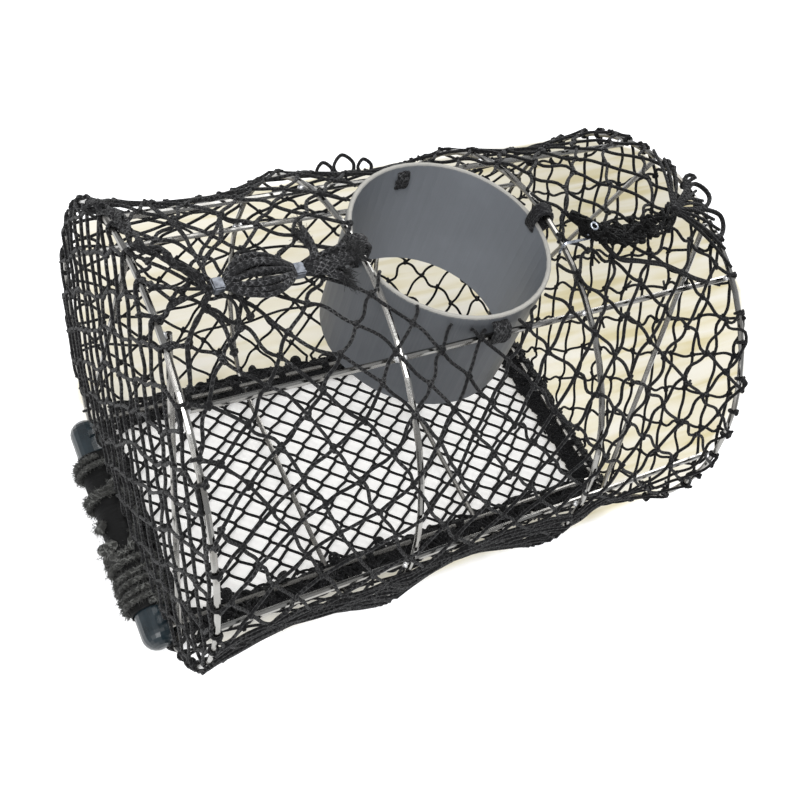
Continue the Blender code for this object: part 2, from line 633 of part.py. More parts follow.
def make_hook():
    """The wire hook that catches the right middle hoop, and the cord loop through its eye."""
    y = RIGHT_CLOSURE_Y
    hoop_z = AXIS_Z + math.sqrt(HOOP_RADIUS ** 2 - y ** 2)
    reach = ROD_RADIUS + GAP + HOOK_WIRE_RADIUS
    level = NET_TOP + GAP + HOOK_WIRE_RADIUS
    eye_z = AXIS_Z + math.sqrt(level ** 2 - y ** 2) + HOOK_EYE_RADIUS
    eye = at(HOOK_EYE_X, y, eye_z)
    shank_z = eye_z - HOOK_EYE_RADIUS
    bend = (shank_z - hoop_z) / 2
    points = [at(MIDDLE_HOOP_X - reach, y, hoop_z - HOOK_MOUTH)]
    for degrees in (180, 157, 135, 112, 90):
        a = math.radians(degrees)
        points.append(at(MIDDLE_HOOP_X - reach + bend + bend * math.cos(a), y, shank_z - bend + bend * math.sin(a)))
    for i in range(10):
        a = math.radians(-90 + 33 * i)
        points.append(eye + Vector((HOOK_EYE_RADIUS * math.cos(a), 0.0, HOOK_EYE_RADIUS * math.sin(a))))
    tube("closure_hook", points, HOOK_WIRE_RADIUS, CRIMP_GREY, detail=1, origin=eye)

    first_loop = RIGHT_HANK_X - RIGHT_HANK_LENGTH / 2 - GAP - HOOK_TIE_RADIUS
    half = HOOK_TIE_HALF
    ease = HOOK_TIE_EASE
    eye_side = HOOK_EYE_X + HOOK_EYE_RADIUS - HOOK_WIRE_RADIUS - GAP - HOOK_TIE_RADIUS
    middle = (eye_side + first_loop) / 2
    route = [
        (eye_side, 0.0), (eye_side, half - ease), (eye_side + ease, half), (middle, half),
        (first_loop - ease, half), (first_loop, half - ease), (first_loop, 0.0),
        (first_loop, ease - half), (first_loop - ease, -half), (middle, -half),
        (eye_side + ease, -half), (eye_side, ease - half),
    ]
    tie = [at(x, y + side, eye_z) for x, side in route]
    tube("hook_tie", tie, HOOK_TIE_RADIUS, CORD_BLACK, detail=1, closed=True)
    return eye


make_hoops()
make_rods()
make_end_bars()
make_pipe()
make_ties()
make_floor_net()
make_wall_nets()
make_end_nets()
make_edging()
make_ballast()
wound = make_lashing()
print("least gap in lashing, mm:", round(1000 * least_gap(wound, LASHING_RADIUS, 12), 2))
make_closures()
hook_eye = make_hook()
print("hook eye", [round(c, 5) for c in hook_eye], "frame x", round(FRAME_X, 5), "bar top", round(BAR_Z + LASHING_REACH, 5))
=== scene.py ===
"""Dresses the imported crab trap: knotted nets, gathered edging, closures, ties, ballast and finishes.

Metres, +Z up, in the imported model's frame. It runs as a Blender script, and is laid out as an add-on.
"""

import math

import bpy
import numpy as np
from bpy.props import FloatProperty, FloatVectorProperty, IntProperty, PointerProperty
from mathutils import Matrix, Vector, noise

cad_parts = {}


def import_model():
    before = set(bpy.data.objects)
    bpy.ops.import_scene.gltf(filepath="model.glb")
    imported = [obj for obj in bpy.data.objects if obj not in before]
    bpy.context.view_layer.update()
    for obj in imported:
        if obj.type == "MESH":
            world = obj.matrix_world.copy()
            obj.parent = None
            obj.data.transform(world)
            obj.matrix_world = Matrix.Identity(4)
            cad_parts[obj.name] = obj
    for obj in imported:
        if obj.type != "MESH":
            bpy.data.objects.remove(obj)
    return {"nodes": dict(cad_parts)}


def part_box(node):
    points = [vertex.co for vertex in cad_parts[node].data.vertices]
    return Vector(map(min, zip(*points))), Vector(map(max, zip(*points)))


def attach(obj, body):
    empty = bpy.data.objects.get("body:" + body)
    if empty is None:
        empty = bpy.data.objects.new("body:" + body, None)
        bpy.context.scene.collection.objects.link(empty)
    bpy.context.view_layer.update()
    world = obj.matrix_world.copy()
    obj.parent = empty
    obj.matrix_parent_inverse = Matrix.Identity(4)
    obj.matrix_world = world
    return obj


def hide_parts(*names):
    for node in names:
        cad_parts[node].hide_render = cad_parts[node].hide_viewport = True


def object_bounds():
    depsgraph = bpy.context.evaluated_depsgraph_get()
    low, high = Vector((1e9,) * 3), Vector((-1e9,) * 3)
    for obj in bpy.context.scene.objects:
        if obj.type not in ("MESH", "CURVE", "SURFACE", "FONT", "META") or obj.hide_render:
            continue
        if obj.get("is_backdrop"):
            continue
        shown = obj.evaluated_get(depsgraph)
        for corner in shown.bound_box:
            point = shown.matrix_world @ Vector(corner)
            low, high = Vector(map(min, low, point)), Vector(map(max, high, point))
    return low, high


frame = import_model()
CAD_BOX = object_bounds()
# The seed makes every run alike, because the vector noise otherwise starts from the clock
noise.seed_set(7)

bl_info = {
    "name": "Crab trap dressing",
    "version": (1, 0, 0),
    "blender": (4, 5, 0),
    "location": "View3D > Sidebar > Trap",
    "description": "Nets, closures and finishes of a netted crab trap on its packed frame",
    "category": "Object",
}

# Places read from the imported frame
FRAME_X = sum(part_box("entry_pipe")[k][0] for k in (0, 1)) / 2
PIPE_LOW, PIPE_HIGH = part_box("entry_pipe")
PIPE_RADIUS = (PIPE_HIGH[1] - PIPE_LOW[1]) / 2
HOOP_LOW, HOOP_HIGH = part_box("hoop_right_end")
ROD_RADIUS = (HOOP_HIGH[0] - HOOP_LOW[0]) / 2
HOOP_RADIUS = HOOP_HIGH[1] - ROD_RADIUS
AXIS_Z = HOOP_HIGH[2] - ROD_RADIUS - HOOP_RADIUS
CHORD_Z = HOOP_LOW[2] + ROD_RADIUS
END_X = (HOOP_LOW[0] + HOOP_HIGH[0]) / 2 - FRAME_X
MIDDLE_X = sum(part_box("hoop_right_middle")[k][0] for k in (0, 1)) / 2 - FRAME_X
NET_RADIUS = HOOP_RADIUS + ROD_RADIUS + 0.0023
END_NET_X = END_X + ROD_RADIUS + 0.0015
WALL_ANGLE = math.radians(137.0)
WALL_ARC = NET_RADIUS * WALL_ANGLE
TOP_ANGLE = math.radians(27.8)
SIDE_ANGLE = math.radians(83.0)
HITCHES = 31
SHIFT = np.array([FRAME_X, 0.0, 0.0])
UP = np.array([0.0, 0.0, 1.0])

# The wall net's drift: place along, place round, degrees, size
NET_TURN = (-0.17, -0.26, -20.0, 0.16)
# What the closures pull: place along, place round, size along, size round, pull along, pull round
NET_PULLS = (
    (-0.2415, -0.0235, 0.06, 0.06, 0.55, 0.55), (-0.2415, -0.0235, 0.13, 0.13, 0.18, 0.18),
    (0.19, -0.05, 0.09, 0.05, 0.0, 0.5), (0.262, -0.03, 0.05, 0.05, 0.5, 0.5),
)

# Paths of the closures' strands over the top of the net: place along, place across
LEFT_BRAID = ((-0.3092, 0.1024), (-0.2924, 0.0785), (-0.2867, 0.0299), (-0.2739, 0.0195), (-0.2639, 0.0012),
              (-0.2527, -0.0140))
LEFT_FANS = (
    ((-0.2482, 0.0446), (-0.2592, 0.0967)),
    ((-0.2440, 0.0020), (-0.2203, 0.0267), (-0.2080, 0.0581)),
    ((-0.2670, -0.0186), (-0.2912, -0.0090)),
    ((-0.2793, -0.0311), (-0.2930, -0.0390), (-0.3070, -0.0340)),
    ((-0.2653, -0.0469), (-0.2786, -0.0627), (-0.2882, -0.0975)),
    ((-0.2581, -0.0377), (-0.2491, -0.0522), (-0.2468, -0.0792)),
    ((-0.2282, -0.0311), (-0.2246, -0.0540)),
    ((-0.2330, -0.0400), (-0.2359, -0.0619)),
)
RIGHT_BUNDLE = ((0.1180, -0.0178), (0.1260, -0.0307), (0.1299, -0.0408), (0.1405, -0.0468), (0.1552, -0.0530),
                (0.1786, -0.0517), (0.2008, -0.0499), (0.2277, -0.0416), (0.2420, -0.0350))
RIGHT_STRAND = ((0.1405, -0.0516), (0.1446, -0.0625), (0.1518, -0.0721), (0.1660, -0.0764), (0.1864, -0.0815),
                (0.2046, -0.0878), (0.2302, -0.1029), (0.2470, -0.1102))
# Loops of net past the right hoop: place along, place across, lift over the net
PETALS = (
    ((0.2640, -0.0260, 0.005), (0.2905, -0.0070, 0.005), (0.3030, -0.0130, 0.004), (0.3040, -0.0263, 0.003),
     (0.2860, -0.0370, 0.004)),
    ((0.2700, -0.0385, 0.005), (0.2881, -0.0409, 0.005), (0.3040, -0.0491, 0.003), (0.3010, -0.0630, 0.001),
     (0.2862, -0.0700, 0.002), (0.2650, -0.0500, 0.004)),
    ((0.2720, -0.0200, 0.004), (0.2880, 0.0020, 0.004), (0.2970, 0.0052, 0.006), (0.2990, -0.0008, 0.007),
     (0.2910, -0.0020, 0.005), (0.2740, -0.0210, 0.004)),
)
# Corners of the cream cloth that the trap lies on, from the middle of the frame
CLOTH = ((-0.290, 0.187), (-0.262, -0.145), (-0.243, -0.163), (0.266, -0.172), (0.462, -0.164), (0.638, -0.070),
         (0.784, 0.104), (0.834, 0.312), (0.809, 0.445), (0.688, 0.498), (0.209, 0.490), (-0.214, 0.466))
# Colours of the cloth's folds by height (painted light and shade, as the floor is flat), its left side, its part
# under the floor net, and the floor
FOLD_LIGHT_AND_SHADE = ((0.32, (0.56, 0.495, 0.30)), (0.48, (0.64, 0.595, 0.455)), (0.66, (0.685, 0.655, 0.57)))
CLOTH_LEFT = (0.71, 0.685, 0.625)
CLOTH_FLAT = (0.83, 0.82, 0.80)
FLOOR_WHITE = (0.93, 0.93, 0.93)
BLACK = (0.0, 0.0, 0.0)
# Middles of the rope's bands across the trap, in the order in which they are wound
ROPE_BANDS = (0.060, 0.021, -0.061, -0.085, -0.105)
# Curled ends of the side rolls' lacing, from the middle of the frame
CURLS = {
    "near": [(x, -0.124, 0.026) for x in (-0.224, -0.158, -0.093, -0.033)],
    "far": [(x, 0.155, 0.020) for x in (-0.137, -0.083, -0.023)],
}

# The photograph's camera: focal length, place from the middle of the frame, and axes
FOCAL_PIXELS = 938.3
PHOTO_PIXELS = 800.0
SENSOR_WIDTH = 36.0
CAMERA_PLACE = (-0.47085, -0.47628, 1.0017)
CAMERA_RIGHT = Vector((0.86347666, -0.43479148, 0.25566469))
CAMERA_UP = Vector((0.23239035, 0.79281544, 0.56341672))
CAMERA_AHEAD = Vector((0.4476637, 0.42708318, -0.78561897))
# Lamps: place, width, power
LAMPS = {
    "key_light": ((-1.1, -0.9, 2.2), 1.1, 42.0),
    "top_light": ((0.5, 0.7, 2.3), 1.4, 22.0),
    "rim_light": ((1.9, 1.6, 1.1), 0.8, 14.0),
}
# What every colour that a user may change has in common
COLOUR = {"size": 3, "min": 0.0, "max": 1.0, "subtype": "COLOR"}


def middle_of(node):
    """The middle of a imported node's box, measured from the middle of the frame."""
    low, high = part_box(node)
    return (np.array(low) + np.array(high)) / 2 - SHIFT


def world(points):
    """Points measured from the middle of the frame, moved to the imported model's place."""
    return np.asarray(points, dtype=float) + SHIFT


def smooth(points, step=0.004):
    """A soft curve through points, sampled about a step apart."""
    points = np.asarray(points, dtype=float)
    ends = np.vstack([2 * points[0] - points[1], points, 2 * points[-1] - points[-2]])
    out = []
    for a, b, c, d in zip(ends, ends[1:], ends[2:], ends[3:]):
        count = max(1, int(round(np.linalg.norm(c - b) / step)))
        for t in np.arange(count) / count:
            out.append(0.5 * (2 * b + (c - a) * t + (2 * a - 5 * b + 4 * c - d) * t ** 2
                              + (3 * b - a - 3 * c + d) * t ** 3))
    out.append(points[-1])
    return np.array(out)


def unit(rows):
    """Rows scaled to length one."""
    return rows / np.maximum(np.linalg.norm(rows, axis=-1, keepdims=True), 1e-12)


def tangents(path):
    """A path's way at each of its points."""
    return unit(np.gradient(path, axis=0))


def lengths(path):
    """The length along a path up to each of its points."""
    return np.concatenate([[0.0], np.cumsum(np.linalg.norm(np.diff(path, axis=0), axis=1))])


def carried(ways, across):
    """A normal carried along a path without twist, for each of its points."""
    normals = np.empty_like(ways)
    for i, way in enumerate(ways):
        across = across - way * across.dot(way)
        across = across / max(math.sqrt(across.dot(across)), 1e-12)
        normals[i] = across
    return normals


def cells(rows, columns):
    """The row and the column of each cell of a grid."""
    return np.divmod(np.arange(rows * columns), columns)


def spot_by(axis, along, across, up):
    """A point from its place along x or y, across it and up."""
    spot = np.empty(3)
    spot[[axis, 1 - axis, 2]] = along, across, up
    return spot


def arch(t):
    """A rise from nothing to one and back, as t goes from 0 to 1."""
    return math.sin(math.pi * t)


def squarish(out, up):
    """How far a point of a circle moves out to lie on a square with round corners."""
    return 1 / (abs(out) ** 3 + abs(up) ** 3) ** (1 / 3)


def wave(value, seed):
    """A smooth repeatable wander of about -1 to 1 along one value."""
    return 1.6 * noise.noise(Vector((value, seed * 7.31, seed * 1.73)))


def waves(values, seed):
    """The same wander at several values."""
    return np.array([wave(value, seed) for value in values])


class Strands:
    """Round strands gathered into one mesh. Its UV holds the length along and the way round."""

    def __init__(self):
        self.points = []
        self.faces = []
        self.spots = []
        self.count = 0

    def add(self, path, radius, sides=6, closed=False, start=0.0):
        """One strand along a path, with one radius or one for each point."""
        path = np.asarray(path, dtype=float)
        rows = len(path)
        radius = np.broadcast_to(np.asarray(radius, dtype=float), (rows,))
        ways = unit(np.roll(path, -1, 0) - np.roll(path, 1, 0)) if closed else tangents(path)
        across = np.cross(ways[0], UP)
        if np.linalg.norm(across) < 0.2:
            across = np.cross(ways[0], (0.0, 1.0, 0.0))
        normals = carried(ways, across)
        others = np.cross(ways, normals)
        turn = (2 * math.pi * np.arange(sides) / sides)[:, None]
        ring = normals[:, None] * np.cos(turn) + others[:, None] * np.sin(turn)
        points = path[:, None] + ring * radius[:, None, None]
        along = start + lengths(path)
        if closed:
            points = np.vstack([points, points[:1]])
            along = np.append(along, along[-1] + np.linalg.norm(path[0] - path[-1]))
            rows += 1
        i, k = cells(rows - 1, sides)
        corners = ((0, 0), (0, 1), (1, 1), (1, 0))
        faces = np.stack([(i + a) * sides + (k + b) % sides for a, b in corners], 1)
        spots = np.stack([np.stack([along[i + a], (k + b) / sides], 1) for a, b in corners], 1)
        if not closed:
            last = (rows - 1) * sides
            caps = []
            for j in range(sides // 2 - 1):
                caps.append((sides - 1 - j, sides - 2 - j, j + 1, j))
                caps.append((last + j, last + j + 1, last + sides - 2 - j, last + sides - 1 - j))
            faces = np.vstack([faces, caps])
            spots = np.concatenate([spots, np.zeros((len(caps), 4, 2))])
        self.take(points.reshape(-1, 3), faces, spots)

    def take(self, points, faces, spots):
        """Adds points, four-cornered faces and the faces' UV."""
        self.points.append(points)
        self.faces.append(faces + self.count)
        self.spots.append(spots)
        self.count += len(points)

    def copy(self, other, turn, place):
        """Adds another set of strands, turned by three axes given as rows, and moved."""
        points, faces, spots = other.arrays()
        self.take(points @ np.asarray(turn) + np.asarray(place), faces, spots)

    def arrays(self):
        """All points, faces and UV as three arrays."""
        for parts in (self.points, self.faces, self.spots):
            parts[:] = [np.concatenate(parts)]
        return self.points[0], self.faces[0], self.spots[0]

    def piece(self, name, finish, slot, replaced=(), body="trap"):
        """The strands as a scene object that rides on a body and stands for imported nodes."""
        points, faces, spots = self.arrays()
        mesh = bpy.data.meshes.new(name)
        mesh.vertices.add(len(points))
        mesh.vertices.foreach_set("co", points.astype(np.float32).ravel())
        mesh.loops.add(4 * len(faces))
        mesh.loops.foreach_set("vertex_index", faces.astype(np.int32).ravel())
        mesh.polygons.add(len(faces))
        mesh.polygons.foreach_set("loop_start", np.arange(0, 4 * len(faces), 4, dtype=np.int32))
        layer = mesh.uv_layers.new(name="UVMap")
        layer.data.foreach_set("uv", spots.astype(np.float32).ravel())
        mesh.update(calc_edges=True)
        mesh.validate()
        mesh.shade_smooth()
        mesh.materials.append(finish)
        made = bpy.data.objects.new(name, mesh)
        bpy.context.scene.collection.objects.link(made)
        if replaced:
            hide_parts(*replaced)
        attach(made, body)
        return made


class Finish:
    """One procedural material, built node by node."""

    def __init__(self, name, roughness, metallic=0.0, **sockets):
        self.material = bpy.data.materials.new(name)
        self.material.use_nodes = True
        self.tree = self.material.node_tree
        self.shader = self.tree.nodes["Principled BSDF"]
        self.shader.inputs["Roughness"].default_value = roughness
        self.shader.inputs["Metallic"].default_value = metallic
        for socket, value in sockets.items():
            self.shader.inputs[socket.replace("_", " ")].default_value = value

    def node(self, kind, inputs=None, **settings):
        """A shader node with its settings. Inputs are numbers, colours or sockets, by name or by place."""
        made = self.tree.nodes.new("ShaderNode" + kind)
        for setting, value in settings.items():
            setattr(made, setting, value)
        for key, value in (inputs or {}).items():
            if isinstance(value, bpy.types.NodeSocket):
                self.tree.links.new(value, made.inputs[key])
            else:
                made.inputs[key].default_value = value
        return made

    def sum(self, operation, first, second=0.0, third=0.0):
        """A Math node's result."""
        return self.node("Math", {0: first, 1: second, 2: third}, operation=operation).outputs[0]

    def times(self, first, second):
        """One value times another."""
        return self.sum("MULTIPLY", first, second)

    def plus(self, first, second):
        """One value added to another."""
        return self.sum("ADD", first, second)

    def place(self):
        """The point in the piece's own space."""
        return self.node("TexCoord").outputs["Object"]

    def parts(self, vector):
        """A vector's three parts."""
        return self.node("SeparateXYZ", {0: vector}).outputs

    def stretched(self, scale, turn=0.0):
        """The point in the piece's own space, turned about z and scaled along each axis."""
        return self.node("Mapping", {0: self.place(), 2: (0.0, 0.0, turn), 3: scale}).outputs[0]

    def spread(self, value, low, high, start=0.0, end=1.0):
        """A value stretched from low and high to start and end."""
        inputs = {"Value": value, "From Min": low, "From Max": high, "To Min": start, "To Max": end}
        return self.node("MapRange", inputs).outputs["Result"]

    def grain(self, scale, detail=3.0, vector=None, distortion=0.0):
        """Noise of a scale in repeats to the metre, or laid on a given vector."""
        inputs = {"Vector": vector or self.place(), "Scale": scale, "Detail": detail, "Distortion": distortion}
        return self.node("TexNoise", inputs).outputs["Fac"]

    def ramp(self, value, stops):
        """Colours laid along a value."""
        made = self.node("ValToRGB", {"Fac": value})
        marks = made.color_ramp.elements
        while len(marks) < len(stops):
            marks.new(0.5)
        for mark, (where, colour) in zip(marks, stops):
            mark.position = where
            mark.color = (*colour, 1.0)
        return made.outputs["Color"]

    def mix(self, share, first, second):
        """Two colours mixed by a share, each a result or its three parts."""
        pair = [c if isinstance(c, bpy.types.NodeSocket) else (*c, 1.0) for c in (first, second)]
        return self.node("Mix", {0: share, 6: pair[0], 7: pair[1]}, data_type="RGBA").outputs[2]

    def bump(self, height, distance, strength):
        """A bump of a height in metres."""
        return self.node("Bump", {"Height": height, "Distance": distance, "Strength": strength}).outputs["Normal"]

    def set(self, **sockets):
        """Links results to the shader's sockets."""
        for socket, value in sockets.items():
            self.tree.links.new(value, self.shader.inputs[socket.replace("_", " ")])
        return self.material


def shade_of(colour, factor):
    """A colour made lighter or darker."""
    return tuple(min(1.0, c * factor) for c in colour)


def plaited(name, colour, plait, glint_colour, roughness=0.78, depth=0.0006, full=0.95, sheen=0.1):
    """Braided twine: crossing strands along the cord and hairy grain, with pale specks that are painted glints on
    the braid's crests, fewer towards the right as painted light from the left, and darker weave hollows as
    painted shade.
    """
    f = Finish(name, roughness, Sheen_Weight=sheen, Sheen_Roughness=0.5, Specular_IOR_Level=2 * sheen)
    length, turn, _ = f.parts(f.node("TexCoord").outputs["UV"])
    along = f.times(length, 2 * math.pi / plait)
    round_way = f.times(turn, 4 * math.pi)
    weave = f.sum("MAXIMUM", *(f.sum("SINE", f.sum(lean, along, round_way)) for lean in ("ADD", "SUBTRACT")))
    hair = f.grain(2600.0, 4.0)
    # The specks are painted glints: they fall on the weave's crests and on the hairy grain.
    glinting = f.times(f.spread(weave, 0.1, 1.0), f.spread(hair, 0.42, 0.68))
    glinting = f.times(glinting, f.spread(f.grain(55.0, 2.0), 0.35, 0.65, 0.35, 1.0))
    # Painted light: the glints thin out towards the right, as the lamps light the left side more.
    glinting = f.times(glinting, f.spread(f.parts(f.place())[0], -0.1, 0.15, 1.0, 0.45))
    # The ramp paints shade where the share is lowest, then the twine's own colour, then pale painted glints.
    tone = f.ramp(glinting, [(0.0, shade_of(colour, 0.55)), (0.35 * full, colour), (full, glint_colour)])
    height = f.sum("MULTIPLY_ADD", weave, 0.7, f.times(hair, 0.6))
    return f.set(Base_Color=tone, Normal=f.bump(height, depth, 0.9))


def steel_finish(name, colour, dull, roughness):
    """Galvanised rod: bright patches, drawn scratches, and dull brownish film in patches, with the rods darker
    and duller towards the bottom of the frame.
    """
    f = Finish(name, roughness, 1.0)
    fine = f.grain(420.0)
    # The rods grow darker and duller towards the bottom of the frame.
    low = f.spread(f.parts(f.place())[2], 0.015, 0.16, 0.55, 0.0)
    film = f.sum("MAXIMUM", f.spread(f.grain(38.0, 4.0), 0.4, 0.85), low)
    tone = f.mix(f.times(film, 0.7), colour, dull)
    tone = f.mix(f.spread(fine, 0.35, 0.7, 0.0, 0.12), tone, shade_of(colour, 0.6))
    rough = f.spread(film, 0.0, 1.0, roughness, roughness + 0.22)
    rough = f.plus(rough, f.spread(fine, 0.3, 0.7, -0.03, 0.05))
    return f.set(Base_Color=tone, Roughness=rough, Normal=f.bump(fine, 0.00005, 0.3))


def pipe_finish(name, colour, rim):
    """Drain pipe: satin grey wall with faint drawing lines and scuffs, the inner wall painted lighter and the
    outer wall painted darker as painted light and shade, and a pale sawn rim.
    """
    f = Finish(name, 0.45, Specular_IOR_Level=0.35)
    x, y, z = f.parts(f.place())
    upward = f.parts(f.node("NewGeometry").outputs["Normal"])[2]
    across = f.sum("SUBTRACT", x, FRAME_X)
    angle = f.sum("ARCTAN2", y, across)
    unrolled = f.node("CombineXYZ", {0: f.times(angle, 22.0), 2: f.times(z, 2.5)}).outputs[0]
    lines = f.grain(3.0, 3.0, unrolled)
    cloud, fine = f.grain(26.0, 4.0), f.grain(700.0, 2.0)
    tone = f.mix(f.spread(lines, 0.3, 0.7, 0.0, 0.5), shade_of(colour, 0.82), shade_of(colour, 1.2))
    tone = f.mix(f.spread(cloud, 0.45, 0.75, 0.0, 0.35), tone, shade_of(colour, 1.7))
    way_out = f.sum("SQRT", f.sum("MULTIPLY_ADD", across, across, f.times(y, y)))
    outside = f.spread(way_out, PIPE_RADIUS - 0.003, PIPE_RADIUS - 0.001)
    # Painted light and shade: the inner wall is painted lighter, the outer wall darker.
    tone = f.mix(outside, f.mix(0.42, tone, shade_of(colour, 2.4)), f.mix(0.24, tone, BLACK))
    high = f.spread(z, PIPE_HIGH[2] - 0.003, PIPE_HIGH[2] - 0.0008)
    flat = f.times(f.spread(upward, 0.35, 0.8), high)
    edge = f.sum("MAXIMUM", flat, f.times(high, f.spread(fine, 0.4, 0.6)))
    pale = f.mix(f.spread(fine, 0.3, 0.7, 0.0, 0.5), rim, shade_of(rim, 0.7))
    rough = f.plus(f.spread(cloud, 0.3, 0.7, 0.36, 0.52), f.times(edge, 0.25))
    height = f.plus(f.times(lines, 0.5), f.times(fine, 0.2))
    return f.set(Base_Color=f.mix(edge, tone, pale), Roughness=rough, Normal=f.bump(height, 0.0003, 0.5))


def bar_finish(name, colour):
    """Smooth plastic over the weight: deep slate blue, faintly clouded, with fine scratches."""
    f = Finish(name, 0.3, Coat_Weight=0.25, Coat_Roughness=0.15)
    cloud = f.grain(45.0, 4.0)
    scratch = f.grain(1.0, 2.0, f.stretched((900.0, 60.0, 900.0)))
    tone = f.mix(f.spread(cloud, 0.35, 0.7), shade_of(colour, 0.8), shade_of(colour, 1.6))
    tone = f.mix(f.spread(scratch, 0.62, 0.75, 0.0, 0.5), tone, shade_of(colour, 3.0))
    rough = f.spread(cloud, 0.3, 0.7, 0.22, 0.42)
    return f.set(Base_Color=tone, Roughness=rough, Normal=f.bump(scratch, 0.0001, 0.4))


def rubber_finish(name, colour):
    """Matt black rubber with creases, painted shade darkening their hollows, and dusty wear."""
    f = Finish(name, 0.7, Specular_IOR_Level=0.2)
    crease = f.grain(1.0, 4.0, f.stretched((90.0, 380.0, 90.0)))
    # The creases' hollows are painted darker as painted shade; their ridges are paler as dusty wear.
    tone = f.ramp(crease, [(0.3, shade_of(colour, 0.6)), (0.55, colour), (0.75, shade_of(colour, 1.8))])
    rough = f.spread(crease, 0.3, 0.7, 0.5, 0.85)
    height = f.plus(crease, f.times(f.grain(900.0), 0.25))
    return f.set(Base_Color=tone, Roughness=rough, Normal=f.bump(height, 0.0012, 0.8))


def metal_finish(name, colour, roughness):
    """Pressed soft metal: dull, dented, with painted shade darkening the dents' hollows and bright rubbed edges.
    """
    f = Finish(name, roughness, 0.85)
    dent, fine = f.grain(260.0), f.grain(1500.0, 2.0)
    # The dents' hollows are painted darker as painted shade.
    tone = f.ramp(dent, [(0.3, shade_of(colour, 0.55)), (0.5, colour), (0.75, shade_of(colour, 1.4))])
    rough = f.spread(fine, 0.3, 0.7, roughness - 0.1, roughness + 0.15)
    height = f.plus(dent, f.times(fine, 0.15))
    return f.set(Base_Color=tone, Roughness=rough, Normal=f.bump(height, 0.0005, 0.6))


def give(finish, *nodes):
    """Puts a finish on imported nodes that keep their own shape."""
    for node in nodes:
        for slot in frame["nodes"][node].material_slots:
            slot.material = finish


def knot(size, radius, points=14, stretch=1.0, sides=6):
    """A small drawn-up knot of one strand about its own middle, drawn out along its second axis."""
    t = 2 * math.pi * np.arange(points) / points
    across = np.sin(t) + 2 * np.sin(2 * t)
    along = stretch * (np.cos(t) - 2 * np.cos(2 * t))
    made = Strands()
    path = np.stack([across, along, -0.8 * np.sin(3 * t)], 1)
    made.add(path * (size / 2 - radius) / 3, radius, sides, closed=True)
    return made


def facing(normal, rng, lean=0.3):
    """Three axes as rows, the third near a normal, turned about it at random."""
    return seated(normal, rng.normal(0.0, 1.0, 3), rng, lean)


def seated(normal, along, rng, lean=0.25):
    """Three axes as rows for a knot: the second near the twine's way, the third near a normal."""
    up = unit(np.asarray(normal) + rng.normal(0.0, lean, 3))
    side = unit(np.cross(np.asarray(along) + rng.normal(0.0, lean, 3), up))
    return np.array([side, np.cross(up, side), up])


def trimmed(first, second, inside):
    """A leg's two ends and the place where it was cut, once the part that a test rules out is off."""
    keeps = inside(first), inside(second)
    if not any(keeps):
        return None
    if all(keeps):
        return first, second, None
    if keeps[1]:
        first, second = second, first
    low, high = 0.0, 1.0
    for _ in range(10):
        middle = (low + high) / 2
        if inside(first + (second - first) * middle):
            low = middle
        else:
            high = middle
    cut = first + (second - first) * low
    return first, cut, cut


def knot_grid(columns, rows, spot_of):
    """Knots on every other place of a grid, by column and row."""
    return {(i, j): spot_of(i, j) for i in columns for j in rows if (i + j) % 2 == 0}


def meshes(knots, inside):
    """Each knot in turn, with the trimmed legs that rise from it: the side, both ends and the cut."""
    for (i, j), spot in sorted(knots.items()):
        others = [(side, knots.get((i + side, j + 1))) for side in (-1, 1)]
        parts = [(side, trimmed(spot, other, inside)) for side, other in others if other is not None]
        yield spot, [(side, *part) for side, part in parts if part]


def hitch_angles(end):
    """Angles of the hitches round an end hoop, from the top, a little unevenly spaced."""
    uneven = np.random.default_rng(15 + end).normal(0.0, 0.02, HITCHES)
    return np.linspace(-WALL_ANGLE, WALL_ANGLE, HITCHES) + uneven


def hitch_near(end, angle):
    """The angle of the end hoop's hitch that is nearest an angle."""
    angles = hitch_angles(int(end))
    return angles[np.argmin(np.abs(angles - angle))]


def on_wall(x, arc, lift=0.0):
    """A point of the wall net's surface: a place along, a way round from the top, and a lift."""
    reach, angle = NET_RADIUS + lift, arc / NET_RADIUS
    return world((x, reach * math.sin(angle), AXIS_Z + reach * math.cos(angle)))


def sag(x, arc, depth):
    """How far the net draws in inside the hoops' circle, between two hoops and between two rods."""
    left = x < -MIDDLE_X
    if abs(x) < MIDDLE_X:
        t = 0.5 + x / (2 * MIDDLE_X)
    else:
        t = min(1.0, (abs(x) - MIDDLE_X) / (END_X - MIDDLE_X))
    bay = 1.0 if left else 0.6
    angle = abs(arc) / NET_RADIUS
    across, most, rod = 0.0, 0.0, 0.006
    if angle < TOP_ANGLE:
        rod = 0.003 + 0.003 * (angle / TOP_ANGLE) ** 2
    elif angle < SIDE_ANGLE:
        across, most = (angle - TOP_ANGLE) / (SIDE_ANGLE - TOP_ANGLE), 0.68
    else:
        across = min(1.0, (angle - SIDE_ANGLE) / (WALL_ANGLE - SIDE_ANGLE))
        most = 0.35 if arc < 0 and left else 1.0
    return arch(t) ** 0.8 * (rod + bay * depth * most * 4 * across * (1 - across))


def crown(x, y, lift):
    """A point over the net's top, from its place along and across and its lift over the net."""
    return world((x, y, AXIS_Z + math.sqrt(max((NET_RADIUS + lift) ** 2 - y ** 2, 0.0))))


def over_net(spots, lift):
    """Points over the net's top, from their places along and across and one lift."""
    return [crown(x, y, lift) for x, y in spots]


